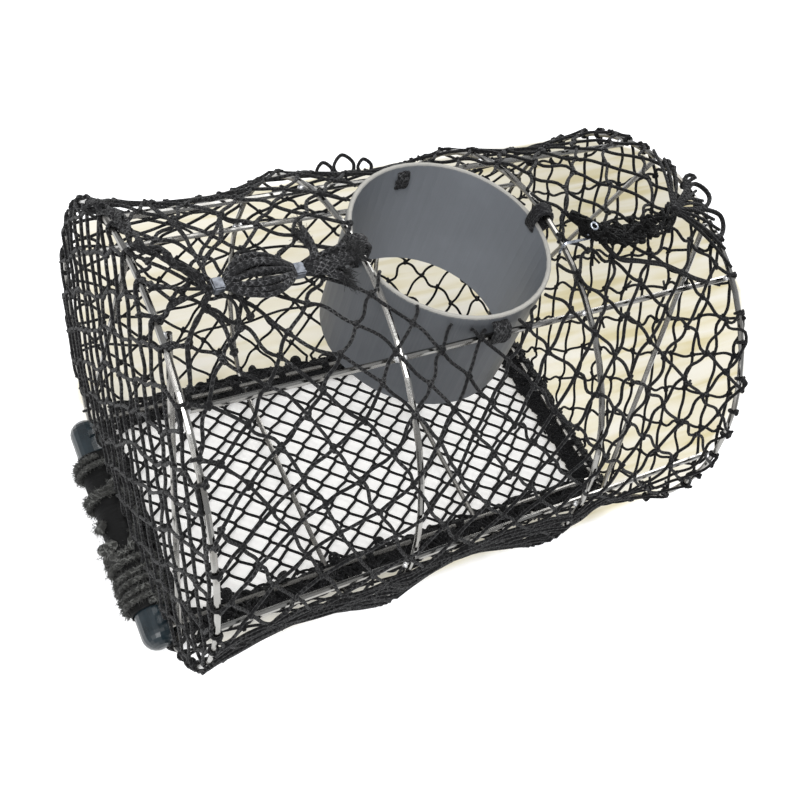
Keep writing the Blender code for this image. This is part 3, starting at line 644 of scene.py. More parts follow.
class TrapNet(bpy.types.PropertyGroup):
    """Sizes and colours of the netting."""
    twine: FloatProperty(name="Wall twine", description="Diameter of the wall net's twine",
                         default=0.0034, min=0.001, max=0.008, unit="LENGTH")
    floor_twine: FloatProperty(name="Floor twine", description="Diameter of the floor net's twine",
                               default=0.0038, min=0.001, max=0.006, unit="LENGTH")
    columns: IntProperty(name="Mesh columns", description="Half meshes of the wall net along the trap",
                         default=24, min=8, max=60)
    rows: IntProperty(name="Mesh rows", description="Half meshes of the wall net round the hoops",
                      default=42, min=12, max=90)
    slack: FloatProperty(name="Slack", description="How far a leg of the net bows between its knots",
                         default=0.0038, min=0.0, max=0.02, unit="LENGTH")
    depth: FloatProperty(name="Sag", description="How far the wall net hangs in between two hoops and two rods",
                         default=0.022, min=0.0, max=0.04, unit="LENGTH")
    end_column: FloatProperty(name="End mesh across", description="Half a mesh of the end nets, sideways",
                              default=0.019, min=0.008, max=0.05, unit="LENGTH")
    end_row: FloatProperty(name="End mesh up", description="Half a mesh of the end nets, upwards",
                           default=0.028, min=0.008, max=0.05, unit="LENGTH")
    floor_mesh: FloatProperty(name="Floor mesh", description="A whole mesh of the floor net, along the trap",
                              default=0.0300, min=0.01, max=0.08, unit="LENGTH")
    colour: FloatVectorProperty(name="Twine colour", description="Colour of the netting",
                                default=(0.0055, 0.0055, 0.0065), **COLOUR)
    # The pale specks on the netting are painted glints on the braid.
    glint: FloatVectorProperty(name="Speck colour", description="Colour of the worn specks on the netting",
                               default=(0.20, 0.20, 0.20), **COLOUR)


class TrapFrame(bpy.types.PropertyGroup):
    """Colours of the rods and the entry pipe."""
    steel: FloatVectorProperty(name="Steel", description="Colour of the galvanised rods",
                               default=(0.33, 0.325, 0.31), **COLOUR)
    film: FloatVectorProperty(name="Film", description="Colour of the dull film on the rods",
                              default=(0.15, 0.13, 0.105), **COLOUR)
    pipe: FloatVectorProperty(name="Pipe", description="Colour of the entry pipe",
                              default=(0.118, 0.126, 0.138), **COLOUR)
    rim: FloatVectorProperty(name="Pipe rim", description="Colour of the sawn rim of the entry pipe",
                             default=(0.36, 0.35, 0.32), **COLOUR)
    weld: FloatProperty(name="Weld size", description="Diameter of a weld where two rods meet",
                        default=0.0085, min=0.002, max=0.02, unit="LENGTH")


class TrapTrim(bpy.types.PropertyGroup):
    """Sizes and colours of the edging, closures, ties and ballast."""
    edging_strands: IntProperty(name="Edging strands", description="Strands bunched in each edging roll",
                                default=22, min=6, max=40)
    cord: FloatVectorProperty(name="Cord", description="Colour of the closure cords and ties",
                              default=(0.010, 0.010, 0.0115), **COLOUR)
    rope: FloatVectorProperty(name="Rope", description="Colour of the ballast's rope",
                              default=(0.068, 0.068, 0.063), **COLOUR)
    bar: FloatVectorProperty(name="Ballast bar", description="Colour of the ballast bar",
                             default=(0.0068, 0.0140, 0.0188), **COLOUR)
    rubber: FloatVectorProperty(name="Rubber", description="Colour of the sleeve round the ballast bar",
                                default=(0.0045, 0.0045, 0.0045), **COLOUR)
    crimp: FloatVectorProperty(name="Crimp", description="Colour of the crimps and the hook",
                               default=(0.15, 0.16, 0.18), **COLOUR)


def net_finish(net):
    """The braided twine of the wall and end nets."""
    old = bpy.data.materials.get("black_twine")
    # Its pale specks are painted glints.
    return old or plaited("black_twine", net.colour, 0.0055, net.glint, full=0.8)


def cord_finish(trim):
    """The braided cord of the closures and ties."""
    old = bpy.data.materials.get("black_cord_plaited")
    # The cord's pale specks are painted glints.
    return old or plaited("black_cord_plaited", trim.cord, 0.0062, (0.24, 0.24, 0.245), full=0.62)


def leg(strands, first, last, radius, slack, rng, place, points=9):
    """One slack leg of a net between two knots given on its surface, as an S or a bow."""
    way = last - first
    length = math.hypot(*way)
    if length < 0.002:
        return
    side = np.array([-way[1], way[0]]) / length
    loose = min(1.0, length / 0.03) * slack
    bow, twist, lift = (rng.normal(0.0, spread) * loose for spread in (0.6, 0.55, 0.35))
    path = []
    for t in np.linspace(0.0, 1.0, points):
        spot = first + way * t + side * (bow * arch(t) + twist * math.sin(2 * math.pi * t))
        path.append(place(*spot, lift * arch(t)))
    strands.add(path, radius, start=rng.uniform(0.0, 1.0))


class TRAP_OT_stage(bpy.types.Operator):
    """Builds the pale floor, the soft lights and the camera at the photograph's angle"""
    bl_idname = "trap.stage"
    bl_label = "Stage"

    def execute(self, context):
        scene = context.scene
        scene.view_settings.view_transform = "Standard"

        mesh = bpy.data.meshes.new("studio_floor")
        mesh.from_pydata([(-8, -8, 0), (8, -8, 0), (8, 8, 0), (-8, 8, 0)], [], [(0, 1, 2, 3)])
        floor = bpy.data.objects.new("studio_floor", mesh)
        scene.collection.objects.link(floor)
        f = Finish("pale_floor", 0.9)
        rays = f.node("LightPath").outputs
        seen = f.sum("MAXIMUM", rays["Is Camera Ray"], rays["Is Glossy Ray"])
        seen = f.sum("MAXIMUM", seen, rays["Is Transmission Ray"])
        tone = self.cloth(f)
        glow = f.times(seen, 0.42)
        mesh.materials.append(f.set(Base_Color=tone, Emission_Color=tone, Emission_Strength=glow))
        floor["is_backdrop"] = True

        sky = bpy.data.worlds.new("studio_sky")
        sky.use_nodes = True
        light = sky.node_tree.nodes["Background"].inputs
        light["Color"].default_value = (0.95, 0.97, 1.0, 1.0)
        light["Strength"].default_value = 0.55
        scene.world = sky
        for name, (place, size, power) in LAMPS.items():
            lamp = bpy.data.lights.new(name, "AREA")
            lamp.shape = "SQUARE"
            lamp.size = size
            lamp.energy = power
            holder = bpy.data.objects.new(name, lamp)
            holder.location = place
            aim = Vector((0.0, 0.0, 0.2)) - Vector(place)
            holder.rotation_euler = aim.to_track_quat("-Z", "Y").to_euler()
            scene.collection.objects.link(holder)

        camera = bpy.data.cameras.new("photo_camera")
        camera.sensor_width = SENSOR_WIDTH
        camera.sensor_fit = "HORIZONTAL"
        camera.lens = FOCAL_PIXELS * SENSOR_WIDTH / PHOTO_PIXELS
        camera.clip_start = 0.05
        holder = bpy.data.objects.new("photo_camera", camera)
        turn = Matrix((CAMERA_RIGHT, CAMERA_UP, -CAMERA_AHEAD)).transposed().to_4x4()
        holder.matrix_world = Matrix.Translation(Vector(world(CAMERA_PLACE))) @ turn
        scene.collection.objects.link(holder)
        scene.camera = holder
        return {"FINISHED"}

    def cloth(self, f):
        """White beyond the cloth, cream on it with folds painted in light and shade and painted shade towards the
        far side and the right, and paler where the floor net lies flat.
        """
        place = f.parts(f.place())
        x, y = f.sum("SUBTRACT", place[0], FRAME_X), place[1]
        inside = 1.0
        for (x0, y0), (x1, y1) in zip(CLOTH, CLOTH[1:] + CLOTH[:1]):
            length = math.hypot(x1 - x0, y1 - y0)
            nx, ny = (y0 - y1) / length, (x1 - x0) / length
            far = f.sum("MULTIPLY_ADD", x, nx, f.sum("MULTIPLY_ADD", y, ny, -(nx * x0 + ny * y0)))
            inside = f.sum("MINIMUM", far, inside)
        inside = f.spread(inside, -0.016, -0.002)
        flat_x = f.spread(f.sum("ABSOLUTE", x), 0.27, 0.31, 1.0, 0.0)
        flat_y = f.spread(f.sum("ABSOLUTE", y), 0.13, 0.17, 1.0, 0.0)
        # Painted light and shade of folds that the flat floor doesn't have.
        cream = f.ramp(f.grain(1.0, 2.0, f.stretched((5.0, 42.0, 1.0), 0.13), 0.6), FOLD_LIGHT_AND_SHADE)
        cream = f.mix(f.spread(x, -0.15, 0.35, 0.40, 0.0), cream, CLOTH_LEFT)
        # Painted shade: the cloth darkens towards the far side and towards the right end.
        painted_shade = f.times(f.spread(y, 0.05, 0.32, 0.06, 0.26), f.spread(x, -0.1, 0.3, 0.62, 1.0))
        painted_shade = f.plus(painted_shade, f.spread(x, 0.35, 0.55, 0.0, 0.12))
        cream = f.mix(painted_shade, cream, BLACK)
        cream = f.mix(f.times(flat_x, flat_y), cream, CLOTH_FLAT)
        return f.mix(inside, FLOOR_WHITE, cream)


class TRAP_OT_frame(bpy.types.Operator):
    """Finishes the hoops, rods and end bars, and adds the welds where they meet"""
    bl_idname = "trap.frame"
    bl_label = "Rod frame"

    def execute(self, context):
        look = context.scene.trap_frame
        hoops = ["hoop_left_end", "hoop_left_middle", "hoop_right_middle", "hoop_right_end"]
        rods = [f"rod_{kind}_{side}" for kind in ("top", "side", "floor") for side in ("near", "far")]
        bars = [f"end_bar_{end}_{side}" for end in ("left", "right") for side in ("near", "far")]
        give(steel_finish("galvanised_rod", look.steel, look.film, 0.15), *hoops, *rods, *bars)

        rng = np.random.default_rng(11)
        welds = Strands()
        for hoop in hoops:
            x = middle_of(hoop)[0]
            for rod in rods:
                y, z = middle_of(rod)[1:]
                seat = (np.array([y, z]) + self.nearest(y, z)) / 2
                for side in (-1, 1):
                    if abs(x + side * 0.004) <= END_X + ROD_RADIUS:
                        self.bead(welds, (x + side * 0.0028, *seat), look.weld, rng)
        for bar in bars:
            low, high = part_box(bar)
            x, y = middle_of(bar)[:2]
            outer, inner = low[1] + ROD_RADIUS, high[1] - ROD_RADIUS
            if y > 0:
                outer, inner = inner, outer
            shift = math.copysign(0.003, x)
            self.bead(welds, (x + shift, outer, low[2] + 0.002), look.weld, rng)
            self.bead(welds, (x + shift, inner, high[2] - 0.003), look.weld, rng)
        welds.piece("rod_welds", metal_finish("weld_bead", (0.72, 0.72, 0.72), 0.35), "steel")
        return {"FINISHED"}

    def nearest(self, y, z):
        """The point of a hoop's middle line that is nearest a place across and up."""
        if z < AXIS_Z - 0.15:
            return np.array([y, CHORD_Z])
        way = np.array([y, z - AXIS_Z])
        return way / np.linalg.norm(way) * HOOP_RADIUS + np.array([0.0, AXIS_Z])

    def bead(self, strands, place, size, rng):
        """A small lump of weld metal: a short fat strand with a rippled radius."""
        way = unit(rng.normal(0.0, 1.0, 3) * (1.0, 0.6, 0.3))
        t = np.linspace(-1.0, 1.0, 9)
        ripple = 1 + 0.12 * rng.normal(0.0, 1.0, len(t))
        radius = size * 0.36 * np.sqrt(np.maximum(1.0 - t ** 2, 0.02)) * ripple
        strands.add(world(place) + way * (t * size * 0.45)[:, None], radius, 10)


class TRAP_OT_pipe(bpy.types.Operator):
    """Finishes the entry pipe and winds the four ties that hold it"""
    bl_idname = "trap.pipe"
    bl_label = "Entry pipe"

    def execute(self, context):
        look = context.scene.trap_frame
        give(pipe_finish("grey_pipe_wall", look.pipe, look.rim), "entry_pipe")
        cord = cord_finish(context.scene.trap_trim)
        rng = np.random.default_rng(5)
        for word, axis, sign in (("left", 0, -1), ("right", 0, 1), ("near", 1, -1), ("far", 1, 1)):
            low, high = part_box(f"pipe_tie_{word}")
            strands = Strands()
            self.wind(strands, np.array(low), np.array(high), axis, sign, rng)
            strands.piece(f"wound_tie_{word}", cord, "cord", [f"pipe_tie_{word}"])
        return {"FINISHED"}

    def wind(self, strands, low, high, axis, sign, rng):
        """One cord wound tightly through the wall's hole and round the rod."""
        middle, half = (low + high) / 2, (high - low) / 2
        turns, each, pitch, radius = 7, 22, 0.0027, 0.0020
        path = []
        for n in np.arange(turns * each + 1) / each:
            out, up = math.cos(2 * math.pi * n), math.sin(2 * math.pi * n)
            size = squarish(out, up) * (1.0 + 0.09 * wave(n * 2.3, 3 + sign))
            fan = 0.6 + 0.4 * (0.5 + 0.5 * out)
            side = ((n - turns / 2) * pitch + 0.0009 * wave(n * 5.0, 9)) * fan
            along = middle[axis] + sign * half[axis] * out * size
            across = (FRAME_X if axis == 1 else 0.0) + side
            path.append(spot_by(axis, along, across, middle[2] + half[2] * up * size))
        strands.add(path, radius * rng.uniform(0.95, 1.05), 8)
        for _ in range(3):
            spot = path[int(rng.integers(len(path)))]
            strands.copy(knot(0.010, 0.0019, 12), facing(UP, rng, 0.8), spot)


class TRAP_OT_wall_net(bpy.types.Operator):
    """Knots the coarse net over the round wall, drawn to both closures and open round the pipe"""
    bl_idname = "trap.wall_net"
    bl_label = "Wall net"

    def execute(self, context):
        net = context.scene.trap_net
        rng = np.random.default_rng(21)
        reach = END_X + 0.001
        radius = net.twine / 2

        def spot_of(i, j):
            x = -reach + 2 * reach * i / net.columns
            arc = -WALL_ARC + 2 * WALL_ARC * j / net.rows
            wander = noise.noise_vector(Vector((x * 7.0, arc * 7.0, 3.1)))
            x, arc = self.drawn(x + 0.009 * wander[0], arc + 0.010 * wander[1])
            return np.array([x + rng.normal(0.0, 0.0018), arc + rng.normal(0.0, 0.0020)])

        def place(x, arc, lift):
            return self.clear_of_pipe(on_wall(x, arc, lift - sag(x, arc, net.depth)))

        def inside(spot):
            x, arc = spot
            if abs(x) > reach or abs(arc) > WALL_ARC:
                return False
            over = math.hypot(x, NET_RADIUS * math.sin(arc / NET_RADIUS)) < PIPE_RADIUS + 0.003
            return not (over and abs(arc) < WALL_ARC / 2)

        strands = Strands()
        knots = knot_grid(range(-4, net.columns + 5), range(-4, net.rows + 5), spot_of)
        form = knot(0.0078, 0.0016, 16, 1.45)
        for spot, legs in meshes(knots, inside):
            for _, first, last, cut in legs:
                if cut is not None and abs(cut[0]) > reach - 0.002:
                    last = np.array([last[0], NET_RADIUS * hitch_near(np.sign(cut[0]), last[1] / NET_RADIUS)])
                easy = max(0.0, 1.0 - abs(spot[1]) / 0.2, min(1.0, (spot[0] + 0.02) / 0.15))
                leg(strands, first, last, radius, net.slack * (0.45 + 0.55 * easy), rng, place)
                if cut is not None and abs(cut[1]) > WALL_ARC - 0.002:
                    self.foot(strands, place(*last, 0.0), radius, rng)
            if inside(spot):
                angle = spot[1] / NET_RADIUS
                out = np.array([0.0, math.sin(angle), math.cos(angle)])
                down = np.array([0.0, out[2], -out[1]])
                strands.copy(form, seated(out, down, rng), place(*spot, 0.0008))
        self.gathered(strands, place, reach, radius)
        self.curls(strands)
        panels = [f"net_{side}_{kind}" for side in ("near", "far") for kind in ("upper", "lower")]
        strands.piece("wall_netting", net_finish(net), "net", panels + ["net_top_left", "net_top_right"])
        return {"FINISHED"}

    def drawn(self, x, arc):
        """A knot's place once the net has drifted on the frame and the closures have pulled it."""
        turn_x, turn_arc, degrees, size = NET_TURN
        off = np.array([x - turn_x, arc - turn_arc])
        c, s = math.cos(math.radians(degrees)), math.sin(math.radians(degrees))
        turned = np.array([c * off[0] - s * off[1], s * off[0] + c * off[1]])
        x, arc = np.array([x, arc]) + (turned - off) * math.exp(-off.dot(off) / size ** 2)
        for cx, carc, wide, tall, pull_x, pull_arc in NET_PULLS:
            share = math.exp(-((x - cx) / wide) ** 2 - ((arc - carc) / tall) ** 2)
            x += (cx - x) * share * pull_x
            arc += (carc - arc) * share * pull_arc
        return x, arc

    def clear_of_pipe(self, spot):
        """Moves a point of the net off the pipe's wall and bore."""
        across = spot[:2] - SHIFT[:2]
        gap = math.hypot(*across)
        least = PIPE_RADIUS + 0.0028
        if spot[2] > AXIS_Z and gap < least:
            spot = np.array([*(SHIFT[:2] + across / max(gap, 1e-6) * least), spot[2]])
        return spot

    def gathered(self, strands, place, reach, radius):
        """Slack meshes of the net's lower edge, drawn up along the trap between the side rod and the floor."""
        rng = np.random.default_rng(23)
        for side, count in ((-1, 18), (1, 4)):
            for angle in np.linspace(1.49, 2.11, count):
                seed = rng.uniform(0.0, 90.0)
                path = []
                for x in np.linspace(-reach, rng.uniform(0.06, 0.22), 90):
                    arc = side * NET_RADIUS * (angle + 0.055 * wave(x * 17.0, seed))
                    path.append(place(x, arc, 0.003 * wave(x * 20.0, seed + 7)))
                strands.add(path, radius, start=seed)

    def curls(self, strands):
        """Small loops of net that stand up on the far side of the top."""
        form = ((-0.7, 0.0), (-1.0, 1.0), (0.0, 1.9), (0.9, 1.1), (0.5, 0.0))
        for x, size in ((-0.021, 0.010), (0.004, 0.013), (0.029, 0.009)):
            spots = [on_wall(x + across * size, 0.243, lift * size - 0.010) for across, lift in form]
            strands.add(smooth(spots, 0.003), 0.0021)

    def foot(self, strands, top, radius, rng):
        """Ties a leg of the net's lower edge down into the side roll."""
        side = math.copysign(1.0, top[1])
        end = np.array([top[0] + rng.uniform(-0.012, 0.012), side * 0.1425, 0.010])
        middle = (top + end) / 2 + (0.0, side * 0.004, 0.0)
        strands.add(smooth([top, middle, end]), radius)


class TRAP_OT_end_nets(bpy.types.Operator):
    """Knots the nets over both ends, hitched round the end hoops"""
    bl_idname = "trap.end_nets"
    bl_label = "End nets"

    def execute(self, context):
        net = context.scene.trap_net
        finish = net_finish(net)
        for end, word, low in ((-1, "left", 0.060), (1, "right", 0.028)):
            rng = np.random.default_rng(31 + end)
            strands = Strands()
            self.lattice(strands, end, low, net, rng)
            self.hitches(strands, end, net, rng)
            strands.piece(f"end_netting_{word}", finish, "net", [f"net_end_{word}"])
        return {"FINISHED"}

    def lattice(self, strands, end, low, net, rng):
        """Even meshes that lean a little, trimmed to the hoop and hitched to it."""
        radius = net.twine / 2
        if end < 0:
            column, row, slack, free = net.end_column, net.end_row, net.slack * 0.5, 0.0026
        else:
            column, row, slack, free = net.end_column * 1.12, net.end_row * 1.14, net.slack * 0.95, 0.0018

        def spot_of(i, j):
            y = i * column
            z = AXIS_Z + j * row + 0.3 * y
            wander = noise.noise_vector(Vector((y * 8.0, z * 8.0, 5.0 + end)))
            return np.array([y + 0.007 * wander[0] + rng.normal(0.0, free),
                             z + 0.008 * wander[1] + rng.normal(0.0, free)])

        def place(y, z, lift):
            away = math.hypot(y, z - AXIS_Z) / HOOP_RADIUS
            return world((end * (END_NET_X + lift + 0.006 * max(0.0, 1.0 - away ** 2)), y, z))

        def inside(spot):
            return spot[1] > low and math.hypot(spot[0], spot[1] - AXIS_Z) < HOOP_RADIUS + 0.0005

        form = knot(0.0078, 0.0016, 14, 1.45)
        for spot, legs in meshes(knot_grid(range(-13, 14), range(-11, 12), spot_of), inside):
            for _, first, last, cut in legs:
                if cut is not None and cut[1] < low + 0.002:
                    self.down(strands, end, place(*last, 0.0), radius, rng)
                elif cut is not None:
                    a = hitch_near(end, math.atan2(cut[0], cut[1] - AXIS_Z))
                    last = np.array([HOOP_RADIUS * math.sin(a), AXIS_Z + HOOP_RADIUS * math.cos(a)])
                leg(strands, first, last, radius, slack, rng, place)
            if inside(spot):
                middle = place(*spot, 0.0)
                strands.copy(form, seated((end, 0.0, 0.0), UP, rng), middle)
                if end > 0 and rng.uniform() < 0.09:
                    for _ in range(2):
                        way = unit(rng.normal(0.0, 1.0, 3) * (0.5, 1.0, 1.0) + (0.6, 0.0, 0.0))
                        strands.add([middle + way * t for t in (0.0, 0.006, 0.013)], radius * 0.9)

    def down(self, strands, end, top, radius, rng):
        """A leg from the net's lower edge, over the chord, into the end's roll."""
        roll = middle_of("edging_left" if end < 0 else "edging_right")[0] + FRAME_X
        y = max(-0.142, min(0.142, top[1] * 0.92 + rng.uniform(-0.01, 0.01)))
        bend = ((top[0] + roll) / 2 - end * 0.006, (top[1] + y) / 2, 0.028)
        strands.add(smooth([top, bend, (roll - end * 0.006, y, 0.0125)], 0.005), radius)

    def hitches(self, strands, end, net, rng):
        """Small hitches of twine that hold both nets to the end hoop."""
        radius = net.twine / 2
        reach = ROD_RADIUS + radius * 0.8
        form = knot(0.0062, 0.0014, 12)
        turns = 1.15
        for a in hitch_angles(end):
            out = np.array([0.0, math.sin(a), math.cos(a)])
            along = np.array([0.0, math.cos(a), -math.sin(a)])
            middle = world(np.array([end * END_X, 0.0, AXIS_Z]) + out * HOOP_RADIUS)
            path = []
            for n in np.linspace(0.0, turns, int(12 * turns)):
                b = 2 * math.pi * n
                path.append(middle + reach * (math.cos(b) * out + np.array([math.sin(b), 0.0, 0.0]))
                            + along * ((n / turns - 0.5) * 0.0038))
            strands.add(path, radius)
            if end > 0 or a > -0.3:
                strands.copy(form, facing(out, rng), middle + out * (reach + 0.0006))


class TRAP_OT_floor_net(bpy.types.Operator):
    """Knots the fine net of the floor, under the hoops' chords"""
    bl_idname = "trap.floor_net"
    bl_label = "Floor net"

    def execute(self, context):
        net = context.scene.trap_net
        rng = np.random.default_rng(41)
        radius = net.floor_twine / 2
        low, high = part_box("floor_net")
        height = high[2] - radius * 0.9 - 0.0012
        left, right, side = low[0] - FRAME_X - 0.006, high[0] - FRAME_X + 0.006, high[1] + 0.004
        half = net.floor_mesh / 2
        join = 0.0022

        def spot_of(i, j):
            x = i * half
            y = j * half * 0.963 - 0.1 * x
            wander = noise.noise_vector(Vector((x * 6.0, y * 6.0, 8.7)))
            return np.array([x + 0.002 * wander[0] + rng.normal(0.0, 0.0005),
                             y + 0.002 * wander[1] + rng.normal(0.0, 0.0005)])

        def place(x, y, lift):
            return world((x, y, height + 0.6 * lift + 0.0008 * wave(x * 9, y * 9)))

        def inside(spot):
            return left < spot[0] < right and abs(spot[1]) < side

        strands = Strands()
        for spot, legs in meshes(knot_grid(range(-22, 23), range(-14, 15), spot_of), inside):
            for across, first, last, _ in legs:
                way = np.sign(last[1] - first[1]) * np.array((across * 0.0006, join))
                leg(strands, first + way, last - way, radius, 0.0004, rng, place, 5)
            if inside(spot):
                bar = [place(spot[0], spot[1] + t * (join + 0.001), 0.0006) for t in np.linspace(-1, 1, 5)]
                strands.add(bar, radius * np.array([0.8, 1.2, 1.25, 1.2, 0.8]), 8)
        # The floor net's painted glints are dimmer than the wall net's.
        finish = plaited("fine_black_twine", net.colour, 0.004, shade_of(net.glint, 0.4))
        strands.piece("floor_netting", finish, "net", ["floor_net"])
        return {"FINISHED"}


def bunch(strands, path, wide, high, count, radius, turns, lumps, rng, rest=None):
    """Strands crowded and twisted along a path, flattened where they rest on a height."""
    ways = tangents(path)
    side = unit(np.cross(ways, UP))
    up = unit(np.cross(side, ways))
    steps = lengths(path)
    swell = lumps(steps)
    for k in range(count):
        phase = 2 * math.pi * k / count + rng.uniform(-0.4, 0.4)
        seed = rng.uniform(0.0, 90.0)
        turn = (1 if k % 2 else -1) * 2 * math.pi * turns
        depth = np.minimum(0.72 + 0.5 * abs(waves(steps * 15.0, seed + 5)), 1.0) * swell
        a = phase + turn * steps / steps[-1] + 1.6 * waves(steps * 22.0, seed)
        line = path + side * (np.cos(a) * depth * wide)[:, None] + up * (np.sin(a) * depth * high)[:, None]
        if rest is not None:
            line[:, 2] = np.maximum(line[:, 2], rest + 1.15 * radius)
        strands.add(line, radius * rng.uniform(0.85, 1.15), start=seed)


class Roll:
    """One edging roll: where it lies, how thick it is, the rod that it is laced to and its strands."""

    def __init__(self, word, rng):
        low, high = (np.array(c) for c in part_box(f"edging_{word}"))
        self.rng = rng
        self.strands = Strands()
        self.middle = (low + high) / 2
        if word in ("near", "far"):
            self.axis, self.pitch, self.wide, self.tall = 0, 0.064, 0.0155, 0.0108
            self.rod, self.rod_z = middle_of(f"rod_floor_{word}")[1:]
            self.middle[1:] = math.copysign(0.1400, self.middle[1]), self.tall
        else:
            self.axis, self.tall = 1, (high[2] - low[2]) / 2
            self.pitch, self.wide = (0.036, 0.0085) if word == "left" else (0.029, 0.020)
            hoop = "hoop_left_end" if word == "left" else "hoop_right_end"
            self.rod, self.rod_z = middle_of(hoop)[0] + FRAME_X, CHORD_Z
        self.across = self.middle[1 - self.axis]
        first, last = low[self.axis] + 0.003, high[self.axis] - 0.003
        self.ends = np.linspace(first, last, int((high - low)[self.axis] / 0.006))
        self.curls = CURLS.get(word, ())

    def around(self, along, angle, share, least):
        """A point round the roll: a place along, an angle, shares of the thickness and a least height."""
        across = self.across + math.cos(angle) * self.wide * share[0]
        height = self.middle[2] + math.sin(angle) * self.tall * share[1]
        return spot_by(self.axis, along, across, max(least, height))

    def lumps(self, steps):
        """How far the roll swells along its length, between its turns of lacing."""
        return 1.0 + 0.12 * np.cos(2 * math.pi * steps / self.pitch) + 0.16 * waves(steps * 30.0, 17)

    def fill(self, count):
        """A dark core, crowded strands, knots, loose loops, lacing and curled lumps."""
        strands, rng, first, last = self.strands, self.rng, self.ends[0], self.ends[-1]
        path = np.array([spot_by(self.axis, end, self.across, self.middle[2] + 0.001) for end in self.ends])
        strands.add(path[::6], min(self.wide, self.tall) * 0.62, 8)
        bunch(strands, path, self.wide, self.tall, count, 0.0017, 5.0, self.lumps, rng, 0.0)
        form = knot(0.0084, 0.0016, 12)
        for _ in range(int((last - first) / 0.009)):
            angle = rng.uniform(-0.3, math.pi + 0.3)
            spot = self.around(rng.uniform(first, last), angle, (0.98, 0.9), 0.0045)
            strands.copy(form, facing(spot - path[0], rng, 1.0), spot)
        for _ in range(int((last - first) / 0.012)):
            self.loop(rng.uniform(first + 0.01, last - 0.01))
        for spot in np.arange(first + self.pitch * 0.4, last - 0.004, self.pitch):
            self.lace(spot + rng.normal(0.0, 0.002))
        for place in self.curls:
            self.curl(world(place))

    def curl(self, place):
        """A curled lump of a lacing's end."""
        t = np.linspace(0.0, 1.0, 22)
        a = 2 * math.pi * 1.7 * t
        reach = 0.0064 * (1.0 - 0.45 * t)
        flat = np.stack([reach * np.cos(a), reach * np.sin(a), 0.004 * (t - 0.5)], 1)
        self.strands.add(flat @ facing((0.0, -0.4, 1.0), self.rng, 0.5) + place, 0.0021)
        self.strands.copy(knot(0.009, 0.0018, 12), facing(UP, self.rng, 0.8), place)

    def loop(self, spot):
        """A loose leg of net that stands off the roll."""
        first, last = self.rng.uniform(-0.2, math.pi + 0.2, 2)
        span = self.rng.uniform(0.012, 0.03) * self.rng.choice([-1, 1])
        path = []
        for t in np.linspace(0.0, 1.0, 9):
            off = 1.05 + 0.25 * arch(t)
            path.append(self.around(spot + span * (t - 0.5), first + (last - first) * t, (off, off), 0.002))
        self.strands.add(path, 0.0016)

    def lace(self, spot):
        """Turns of lacing that bind the roll to the rod above it."""
        rod, gap = self.rod, ROD_RADIUS + 0.0016
        top, low, waist = self.rod_z + gap, 0.0017, 0.011
        left = min(self.across - self.wide * 1.03, rod - gap)
        right = max(self.across + self.wide * 1.03, rod + gap)
        path = []
        turns = self.rng.choice([2, 3])
        for n in np.linspace(0.0, turns, 20 * turns):
            a = 2 * math.pi * n
            height = (top + low) / 2 + (top - low) / 2 * math.sin(a)
            share = max(0.0, min(1.0, (height - waist) / (top - waist)))
            near = left + (rod - gap - left) * share
            far = right + (rod + gap - right) * share
            along = spot + (n - turns / 2) * 0.0032 + 0.0005 * wave(n * 3.0, spot * 40)
            path.append(spot_by(self.axis, along, (near + far) / 2 + (far - near) / 2 * math.cos(a), height))
        self.strands.add(path, 0.0015)
        lump = spot_by(self.axis, spot, rod, top + 0.0018)
        self.strands.copy(knot(0.0085, 0.0016, 12), facing(UP, self.rng, 0.6), lump)


class TRAP_OT_edging(bpy.types.Operator):
    """Gathers the floor's edges into four lumpy rolls, laced to the rods above them"""
    bl_idname = "trap.edging"
    bl_label = "Edging rolls"

    def execute(self, context):
        net = context.scene.trap_net
        trim = context.scene.trap_trim
        # The rolls' pale specks are painted glints.
        finish = plaited("black_edging", net.colour, 0.0055, net.glint, 0.82)
        for word, more in (("near", 4), ("far", 4), ("left", 0), ("right", 10)):
            roll = Roll(word, np.random.default_rng(51 + len(word)))
            roll.fill(trim.edging_strands + more)
            roll.strands.piece(f"edging_roll_{word}", finish, "edging", [f"edging_{word}"])
        return {"FINISHED"}


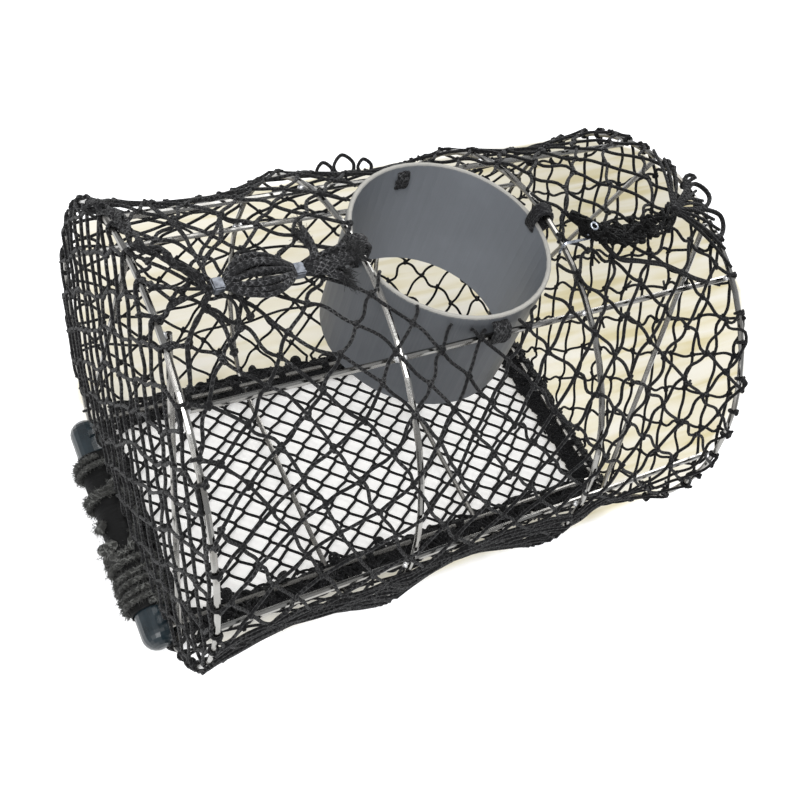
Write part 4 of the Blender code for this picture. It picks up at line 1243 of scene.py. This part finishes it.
class TRAP_OT_ballast(bpy.types.Operator):
    """Finishes the ballast bar, creases its rubber sleeve and winds the hairy rope round it"""
    bl_idname = "trap.ballast"
    bl_label = "Ballast"

    def execute(self, context):
        trim = context.scene.trap_trim
        give(bar_finish("slate_bar", trim.bar), "ballast_bar")
        self.sleeve(trim)
        self.lashing(trim)
        return {"FINISHED"}

    def sleeve(self, trim):
        """A sheet of rubber rolled round the bar: creased, with its free edge standing proud."""
        low, high = (np.array(c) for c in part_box("ballast_sleeve"))
        middle = (low + high) / 2
        outer = (high[2] - low[2]) / 2
        rows, sides, turns, thick = 90, 48, 1.06, 0.0009
        points = []
        for y in low[1] + (high[1] - low[1]) * np.arange(rows + 1) / rows:
            for share in np.arange(sides + 1) / sides:
                a = 2 * math.pi * turns * share + 0.9
                out, up = math.cos(a), math.sin(a)
                crease = noise.noise(Vector((out * 1.4, up * 1.4, y * 55.0)))
                crease += 0.5 * noise.noise(Vector((out * 3.0, up * 3.0, y * 140.0)))
                r = outer - 0.0003 + thick * crease + (thick if share > 0.94 else 0.0)
                r = max(r, outer - 0.0011)
                r += 0.006 * math.exp(-((y + 0.026) / 0.014) ** 2) * max(0.0, (share - 0.86) / 0.14)
                points.append((middle[0] + r * out, y, middle[2] + r * up))
        i, k = cells(rows, sides)
        corners = ((0, 0), (1, 0), (1, 1), (0, 1))
        faces = np.stack([(i + a) * (sides + 1) + k + b for a, b in corners], 1)
        spots = np.stack([np.stack([(i + a) / rows, (k + b) / sides], 1) for a, b in corners], 1)
        strands = Strands()
        strands.take(np.array(points), faces, spots)
        finish = rubber_finish("creased_rubber", trim.rubber)
        made = strands.piece("rubber_sleeve", finish, "sleeve", ["ballast_sleeve"])
        sheet = made.modifiers.new("thickness", "SOLIDIFY")
        sheet.thickness = thick
        sheet.offset = 1.0

    def lashing(self, trim):
        """One rope wound in bands of two turns round the bar and the hoop's chord, with its knots and hairs."""
        low, high = (np.array(c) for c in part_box("ballast_bar"))
        sleeve_low, sleeve_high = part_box("ballast_sleeve")
        radius, turns, each, pitch = 0.0040, 2, 36, 0.0088
        bar, rod = (low + high) / 2, np.array([FRAME_X - END_X, 0.0, CHORD_Z])
        bar_reach = (sleeve_high[2] - sleeve_low[2]) / 2 + radius + 0.0004
        rod_reach = ROD_RADIUS + radius
        rng = np.random.default_rng(61)
        path = []
        for band, centre in enumerate(ROPE_BANDS):
            final = band == len(ROPE_BANDS) - 1
            cross = 0.0 if final else ROPE_BANDS[band + 1] - centre + turns * pitch
            for n in np.arange(turns * each + final) / each:
                a = 2 * math.pi * n + math.pi / 2
                out = np.array([math.cos(a), 0.0, math.sin(a)])
                round_bar = bar.dot(out) + bar_reach > rod.dot(out) + rod_reach
                middle, reach = (bar, bar_reach) if round_bar else (rod, rod_reach)
                point = middle + out * (reach + 0.0012 * abs(wave(n * 4 + band * 3, 4)))
                y = centre + (turns / 2 - n) * (0.0060 if band == 1 else pitch)
                y += cross * (max(0.0, n - turns + 0.45) / 0.45) ** 2 + 0.0022 * wave(n * 2.5, band)
                path.append((point[0], y, max(point[2], radius)))
        path = np.array(path)
        strands = Strands()
        self.laid(strands, path, radius)
        self.hairs(strands, path, radius * 0.85, 6000, rng)
        for y, size in ((-0.040, 0.026), (-0.056, 0.030), (-0.012, 0.018)):
            lump = Strands()
            turn = facing((-1.0, 0.0, 0.6), rng, 0.4)
            lump.copy(knot(size, 0.0036, 26, sides=8), turn, (low[0] - 0.003, y, bar[2] + 0.009))
            strands.take(*lump.arrays())
            self.hairs(strands, lump.arrays()[0], radius, 260, rng)
        # The rope's pale specks are painted glints.
        rope = plaited("hairy_rope", trim.rope, 0.009, (0.34, 0.345, 0.325), 0.9, 0.0008, 0.6)
        strands.piece("rope_lashing", rope, "rope", ["ballast_lashing"])

    def hairs(self, strands, path, reach, count, rng):
        """Worn hairs that stand off a rope."""
        for _ in range(count):
            i = rng.integers(2, len(path) - 2)
            way = unit(path[i + 1] - path[i - 1])
            out = unit(np.cross(way, rng.normal(0.0, 1.0, 3)))
            root = path[i] + out * reach
            length = rng.uniform(0.0015, 0.0048)
            tip = root + unit(out + way * rng.normal(0.0, 0.9)) * length - UP * 0.15 * length
            tip[2] = max(tip[2], 0.0003)
            middle = (root + tip) / 2 + rng.normal(0.0, 0.0004, 3)
            strands.add([root, middle, tip], [0.00032, 0.00028, 0.00014], 4)

    def laid(self, strands, path, radius):
        """Three yarns twisted round each other along a path."""
        ways = tangents(path)
        normals = carried(ways, np.cross(ways[0], (0.0, 1.0, 0.0)))
        other = np.cross(ways, normals)
        for yarn in range(3):
            a = 2 * math.pi * (lengths(path) / 0.011 + yarn / 3)
            line = path + (normals * np.cos(a)[:, None] + other * np.sin(a)[:, None]) * radius * 0.48
            strands.add(line, radius * 0.58)


def hank(start, end, runs, bulge, tuck, rng):
    """One cord laid to and fro in runs from end to end, which bulge apart between their tight ends."""
    way = unit(end - start)
    side = np.array([0.0, 1.0, 0.0])
    path = []
    for k in range(runs):
        a = 2 * math.pi * (k * 0.381966) + 0.4
        reach = bulge * math.sqrt((k + 0.6) / runs)
        offset = side * math.cos(a) * reach + UP * abs(math.sin(a)) * reach * 0.55
        seed = rng.uniform(0.0, 50.0)
        back = k % 2 == 1
        for t in np.linspace(0.0, 1.0, 22)[::-1 if back else 1]:
            wander = side * 0.0012 * wave(t * 3, seed) + UP * 0.0008 * wave(t * 3, seed + 9)
            path.append(start + (end - start) * t + offset * (arch(t) ** 0.7 * 0.85 + 0.15) + wander * arch(t))
        path.append((start - way * tuck if back else end + way * tuck) + offset * 0.1)
    return smooth(path[::2], 0.0025)


def doubled(strands, path, radius, gap, rng):
    """Two strands side by side along a path, with a knot at its far end."""
    path = smooth(path)
    side = unit(np.cross(tangents(path), UP))
    for pair in (-1, 1):
        shift = pair * gap + 0.0007 * waves(np.arange(len(path)) * 0.25, 5 + pair)
        strands.add(path + side * shift[:, None], radius, start=rng.uniform(0.0, 1.0))
    strands.copy(knot(0.0080, 0.0016, 14, 1.3), seated(UP, path[-1] - path[-2], rng), path[-1])


def fray(strands, tip, ahead, count, low, high, rng):
    """Fine hairs that spread from a cord's cut end."""
    for _ in range(count):
        lean = unit(ahead + rng.normal(0.0, 0.5, 3) + UP * 0.1)
        size = rng.uniform(low, high)
        bend = tip + lean * size * 0.5 + rng.normal(0.0, 0.0008, 3)
        strands.add([tip, bend, tip + lean * size], [0.00042, 0.00034, 0.00016], 4)


class TRAP_OT_left_closure(bpy.types.Operator):
    """Draws the net into the outer crimp, and lays the hank and its frayed tail beyond it"""
    bl_idname = "trap.left_closure"
    bl_label = "Left closure"

    def execute(self, context):
        net = context.scene.trap_net
        trim = context.scene.trap_trim
        cord = cord_finish(trim)
        give(metal_finish("pressed_crimp", trim.crimp, 0.42), "crimp_outer", "crimp_inner")
        rng = np.random.default_rng(71)
        outer, inner = middle_of("crimp_outer"), middle_of("crimp_inner")

        gather = Strands()
        self.braid(gather, world(outer) + (-0.004, 0.0, -0.0005), net, rng)
        gather.piece("gathered_net_left", net_finish(net), "net", ["gather_left"])

        low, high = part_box("closure_hank_left")
        start, end = np.array([low[0] - 0.001, *outer[1:]]), np.array([high[0] + 0.001, *inner[1:]])
        strands = Strands()
        strands.add(hank(start, end, 19, 0.0235, 0.003, rng), 0.0022, 8)
        strands.piece("bundled_hank_left", cord, "cord", ["closure_hank_left"])

        tail = Strands()
        self.tail(tail, world(inner) + (0.005, 0.0, 0.0), rng)
        tail.piece("frayed_tail_left", cord, "cord", ["closure_tail_left"])
        return {"FINISHED"}

    def braid(self, strands, end, net, rng):
        """The bunched net from the hoop to the crimp, and the doubled legs that fan out from it."""
        path = smooth([*over_net(LEFT_BRAID, 0.0065), end])

        def taper(steps):
            return 1.05 - 0.3 * steps / steps[-1] + 0.14 * np.sin(steps * 190.0)

        bunch(strands, path, 0.0044, 0.0040, 7, 0.0017, 3.2, taper, rng)
        for spot in path[3:len(path) - 3:6]:
            place = spot + rng.normal(0.0, 0.0022, 3) + (0.0, 0.0, 0.0025)
            strands.copy(knot(0.0074, 0.0016), facing(UP, rng, 0.7), place)
        for fan in LEFT_FANS:
            doubled(strands, [end - UP * 0.001, *over_net(fan, 0.0035)], net.twine * 0.36, 0.0007, rng)

    def tail(self, strands, start, rng):
        """Cords that leave the crimp together for the pipe's tie, and fray at their ends."""
        tie = crown(-0.1181, -0.0185, 0.010)
        ends = (tie, tie, tie, *over_net(((-0.1515, 0.0121), (-0.1317, -0.0375)), 0.006))
        for k in range(34):
            a = rng.uniform(0.0, 2 * math.pi)
            reach = 0.0115 * math.sqrt(rng.uniform(0.05, 1.0))
            offset = np.array([0.0, math.cos(a) * reach, math.sin(a) * reach * 0.6])
            share = rng.uniform(0.75, 1.05)
            seed = rng.uniform(0.0, 60.0)
            path = []
            for t in np.linspace(0.0, share, 10):
                spot = start + (tie - start) * t + (ends[k % 5] - tie) * max(0.0, (t - 0.2) / 0.8) ** 1.5
                open_way = 0.35 + 0.9 * min(1.0, t * 2.2) ** 0.7 * (1.0 - 0.25 * t)
                wander = np.array([0.0, 0.0017 * wave(t * 5, seed), 0.0014 * wave(t * 5, seed + 3)])
                path.append(spot + offset * open_way + wander)
            strands.add(path, 0.0019, start=seed)
            fray(strands, path[-1], unit(path[-1] - path[-3]), 22, 0.004, 0.014, rng)


class TRAP_OT_right_closure(bpy.types.Operator):
    """Lays the dark bundle of the right closure, its gather at the hoop, and the hook with its tie"""
    bl_idname = "trap.right_closure"
    bl_label = "Right closure"

    def execute(self, context):
        net = context.scene.trap_net
        trim = context.scene.trap_trim
        wire = metal_finish("hook_wire", shade_of(trim.crimp, 3.2), 0.25)
        give(wire, "closure_hook")
        rng = np.random.default_rng(81)

        strands = Strands()
        path = smooth(over_net(RIGHT_BUNDLE, 0.0085))
        self.bundle(strands, path, rng)
        # Colour of the bundle's painted glints.
        glint = (0.16, 0.16, 0.16)
        dark = plaited("black_cord_dark", (0.0015, 0.0015, 0.0015), 0.006, glint, 0.7, full=0.8, sheen=0.05)
        strands.piece("bundled_hank_right", dark, "cord", ["closure_hank_right"])

        gather = Strands()
        doubled(gather, over_net(RIGHT_STRAND, 0.004), net.twine / 2, 0.0015, rng)
        self.petals(gather, path[-1], net.twine / 2, rng)
        gather.piece("gathered_net_right", net_finish(net), "net", ["gather_right"])

        low, high = (np.array(c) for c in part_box("hook_tie"))
        middle = (low + high) / 2
        tie = Strands()
        tie.add(self.turns(middle, (high - low) / 2 - 0.0012), 0.0011)
        tie.piece("hook_cord", cord_finish(trim), "cord", ["hook_tie"])

        turn = 2 * math.pi * np.arange(20) / 20
        ring = np.stack([0.0036 * np.cos(turn), 0.0036 * np.sin(turn), 0.0008 * np.sin(turn)], 1)
        eye = Strands()
        eye.add(middle + (-0.008, 0.003, 0.009) + ring, 0.0010, 8, closed=True)
        eye.piece("closure_ring", wire, "crimp")
        return {"FINISHED"}

    def turns(self, middle, half):
        """Three turns of the hook's tie."""
        path = []
        for n in np.linspace(0.0, 3.0, 90):
            out, up = math.cos(2 * math.pi * n), math.sin(2 * math.pi * n)
            size = squarish(out, up)
            lift = (n - 1.5) * 0.0024 * (0.5 + 0.5 * out) ** 0.7
            path.append(middle + (half[0] * out * size, half[1] * up * size, lift))
        return path

    def bundle(self, strands, path, rng):
        """A tangled bundle of cord from the pipe's tie to the hoop, thick where it is doubled over."""
        def swell(steps):
            share = steps / steps[-1]
            taper = 0.25 * np.maximum(0.0, share - 0.75)
            return 0.45 + 0.62 * np.minimum(1.0, share * 3.4) + 0.10 * np.sin(share * 31.0) - taper

        count = len(path)
        bunch(strands, path, 0.0078, 0.0050, 8, 0.0016, 1.2, swell, rng)
        bunch(strands, path[:count * 6 // 10], 0.0088, 0.0064, 8, 0.0017, 1.4, swell, rng)
        for _ in range(24):
            spot = path[int(rng.integers(count // 5, count * 7 // 10))]
            spot = spot + rng.normal(0.0, 1.0, 3) * (0.003, 0.0060, 0.0020) + (0.0, 0.0, 0.0015)
            strands.copy(knot(0.011, 0.0016), facing(UP, rng, 1.0), spot)
        for _ in range(40):
            first = int(rng.integers(count // 7, count - 10))
            last = first + int(rng.integers(3, 9))
            out = rng.choice([-1, 1]) * rng.uniform(0.005, 0.0165)
            middle = (path[first] + path[last]) / 2 + (0.0, out, rng.uniform(0.0, 0.005))
            strands.add(smooth([path[first], middle, path[last]], 0.003), 0.0016)

    def petals(self, strands, root, radius, rng):
        """The net drawn into the bundle's end, with loops that bulge out past the hoop like petals."""
        for loop in PETALS:
            strands.add(smooth([root, *(crown(*spot) for spot in loop), root]), radius * 1.45)
        for y in (-0.062, -0.05, -0.034, -0.026, -0.012, 0.0):
            tip = crown(END_X + 0.002, y, -0.0003)
            bend = (root + tip) / 2 + (0.0, rng.normal(0.0, 0.002), 0.004)
            strands.add(smooth([root, bend, tip]), radius, start=rng.uniform(0.0, 1.0))
        for arc in (-0.105, -0.085, 0.022, 0.04, 0.058):
            tip = on_wall(END_X - 0.004, arc, 0.002)
            bend = (root + tip) / 2 + (0.002, 0.0, 0.003)
            strands.add(smooth([root, bend, tip]), radius, start=rng.uniform(0.0, 1.0))
        for _ in range(5):
            turn = facing(UP, rng, 1.0)
            strands.copy(knot(0.012, 0.0019), turn, root + rng.normal(0.0, 0.003, 3))


class TRAP_PT_panel(bpy.types.Panel):
    """Lists the trap's pieces, each with its button"""
    bl_idname = "TRAP_PT_panel"
    bl_label = "Crab trap"
    bl_space_type = "VIEW_3D"
    bl_region_type = "UI"
    bl_category = "Trap"

    def draw(self, context):
        for group in (context.scene.trap_net, context.scene.trap_frame, context.scene.trap_trim):
            box = self.layout.box()
            for name in group.__annotations__:
                box.prop(group, name)
        for operator in OPERATORS:
            self.layout.operator(operator.bl_idname)


GROUPS = (TrapNet, TrapFrame, TrapTrim)
OPERATORS = (
    TRAP_OT_stage, TRAP_OT_frame, TRAP_OT_pipe, TRAP_OT_floor_net, TRAP_OT_wall_net, TRAP_OT_end_nets,
    TRAP_OT_edging, TRAP_OT_ballast, TRAP_OT_left_closure, TRAP_OT_right_closure,
)


def register():
    for made in (*GROUPS, *OPERATORS, TRAP_PT_panel):
        bpy.utils.register_class(made)
    bpy.types.Scene.trap_net = PointerProperty(type=TrapNet)
    bpy.types.Scene.trap_frame = PointerProperty(type=TrapFrame)
    bpy.types.Scene.trap_trim = PointerProperty(type=TrapTrim)


def unregister():
    del bpy.types.Scene.trap_trim
    del bpy.types.Scene.trap_frame
    del bpy.types.Scene.trap_net
    for made in reversed((*GROUPS, *OPERATORS, TRAP_PT_panel)):
        bpy.utils.unregister_class(made)


def main():
    """Builds the whole scene."""
    register()
    bpy.ops.trap.stage()
    bpy.ops.trap.frame()
    bpy.ops.trap.pipe()
    bpy.ops.trap.floor_net()
    bpy.ops.trap.wall_net()
    bpy.ops.trap.end_nets()
    bpy.ops.trap.edging()
    bpy.ops.trap.ballast()
    bpy.ops.trap.left_closure()
    bpy.ops.trap.right_closure()
    plain = [[[float(c) for c in corner] for corner in box] for box in (CAD_BOX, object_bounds())]


if __name__ == "__main__":
    main()
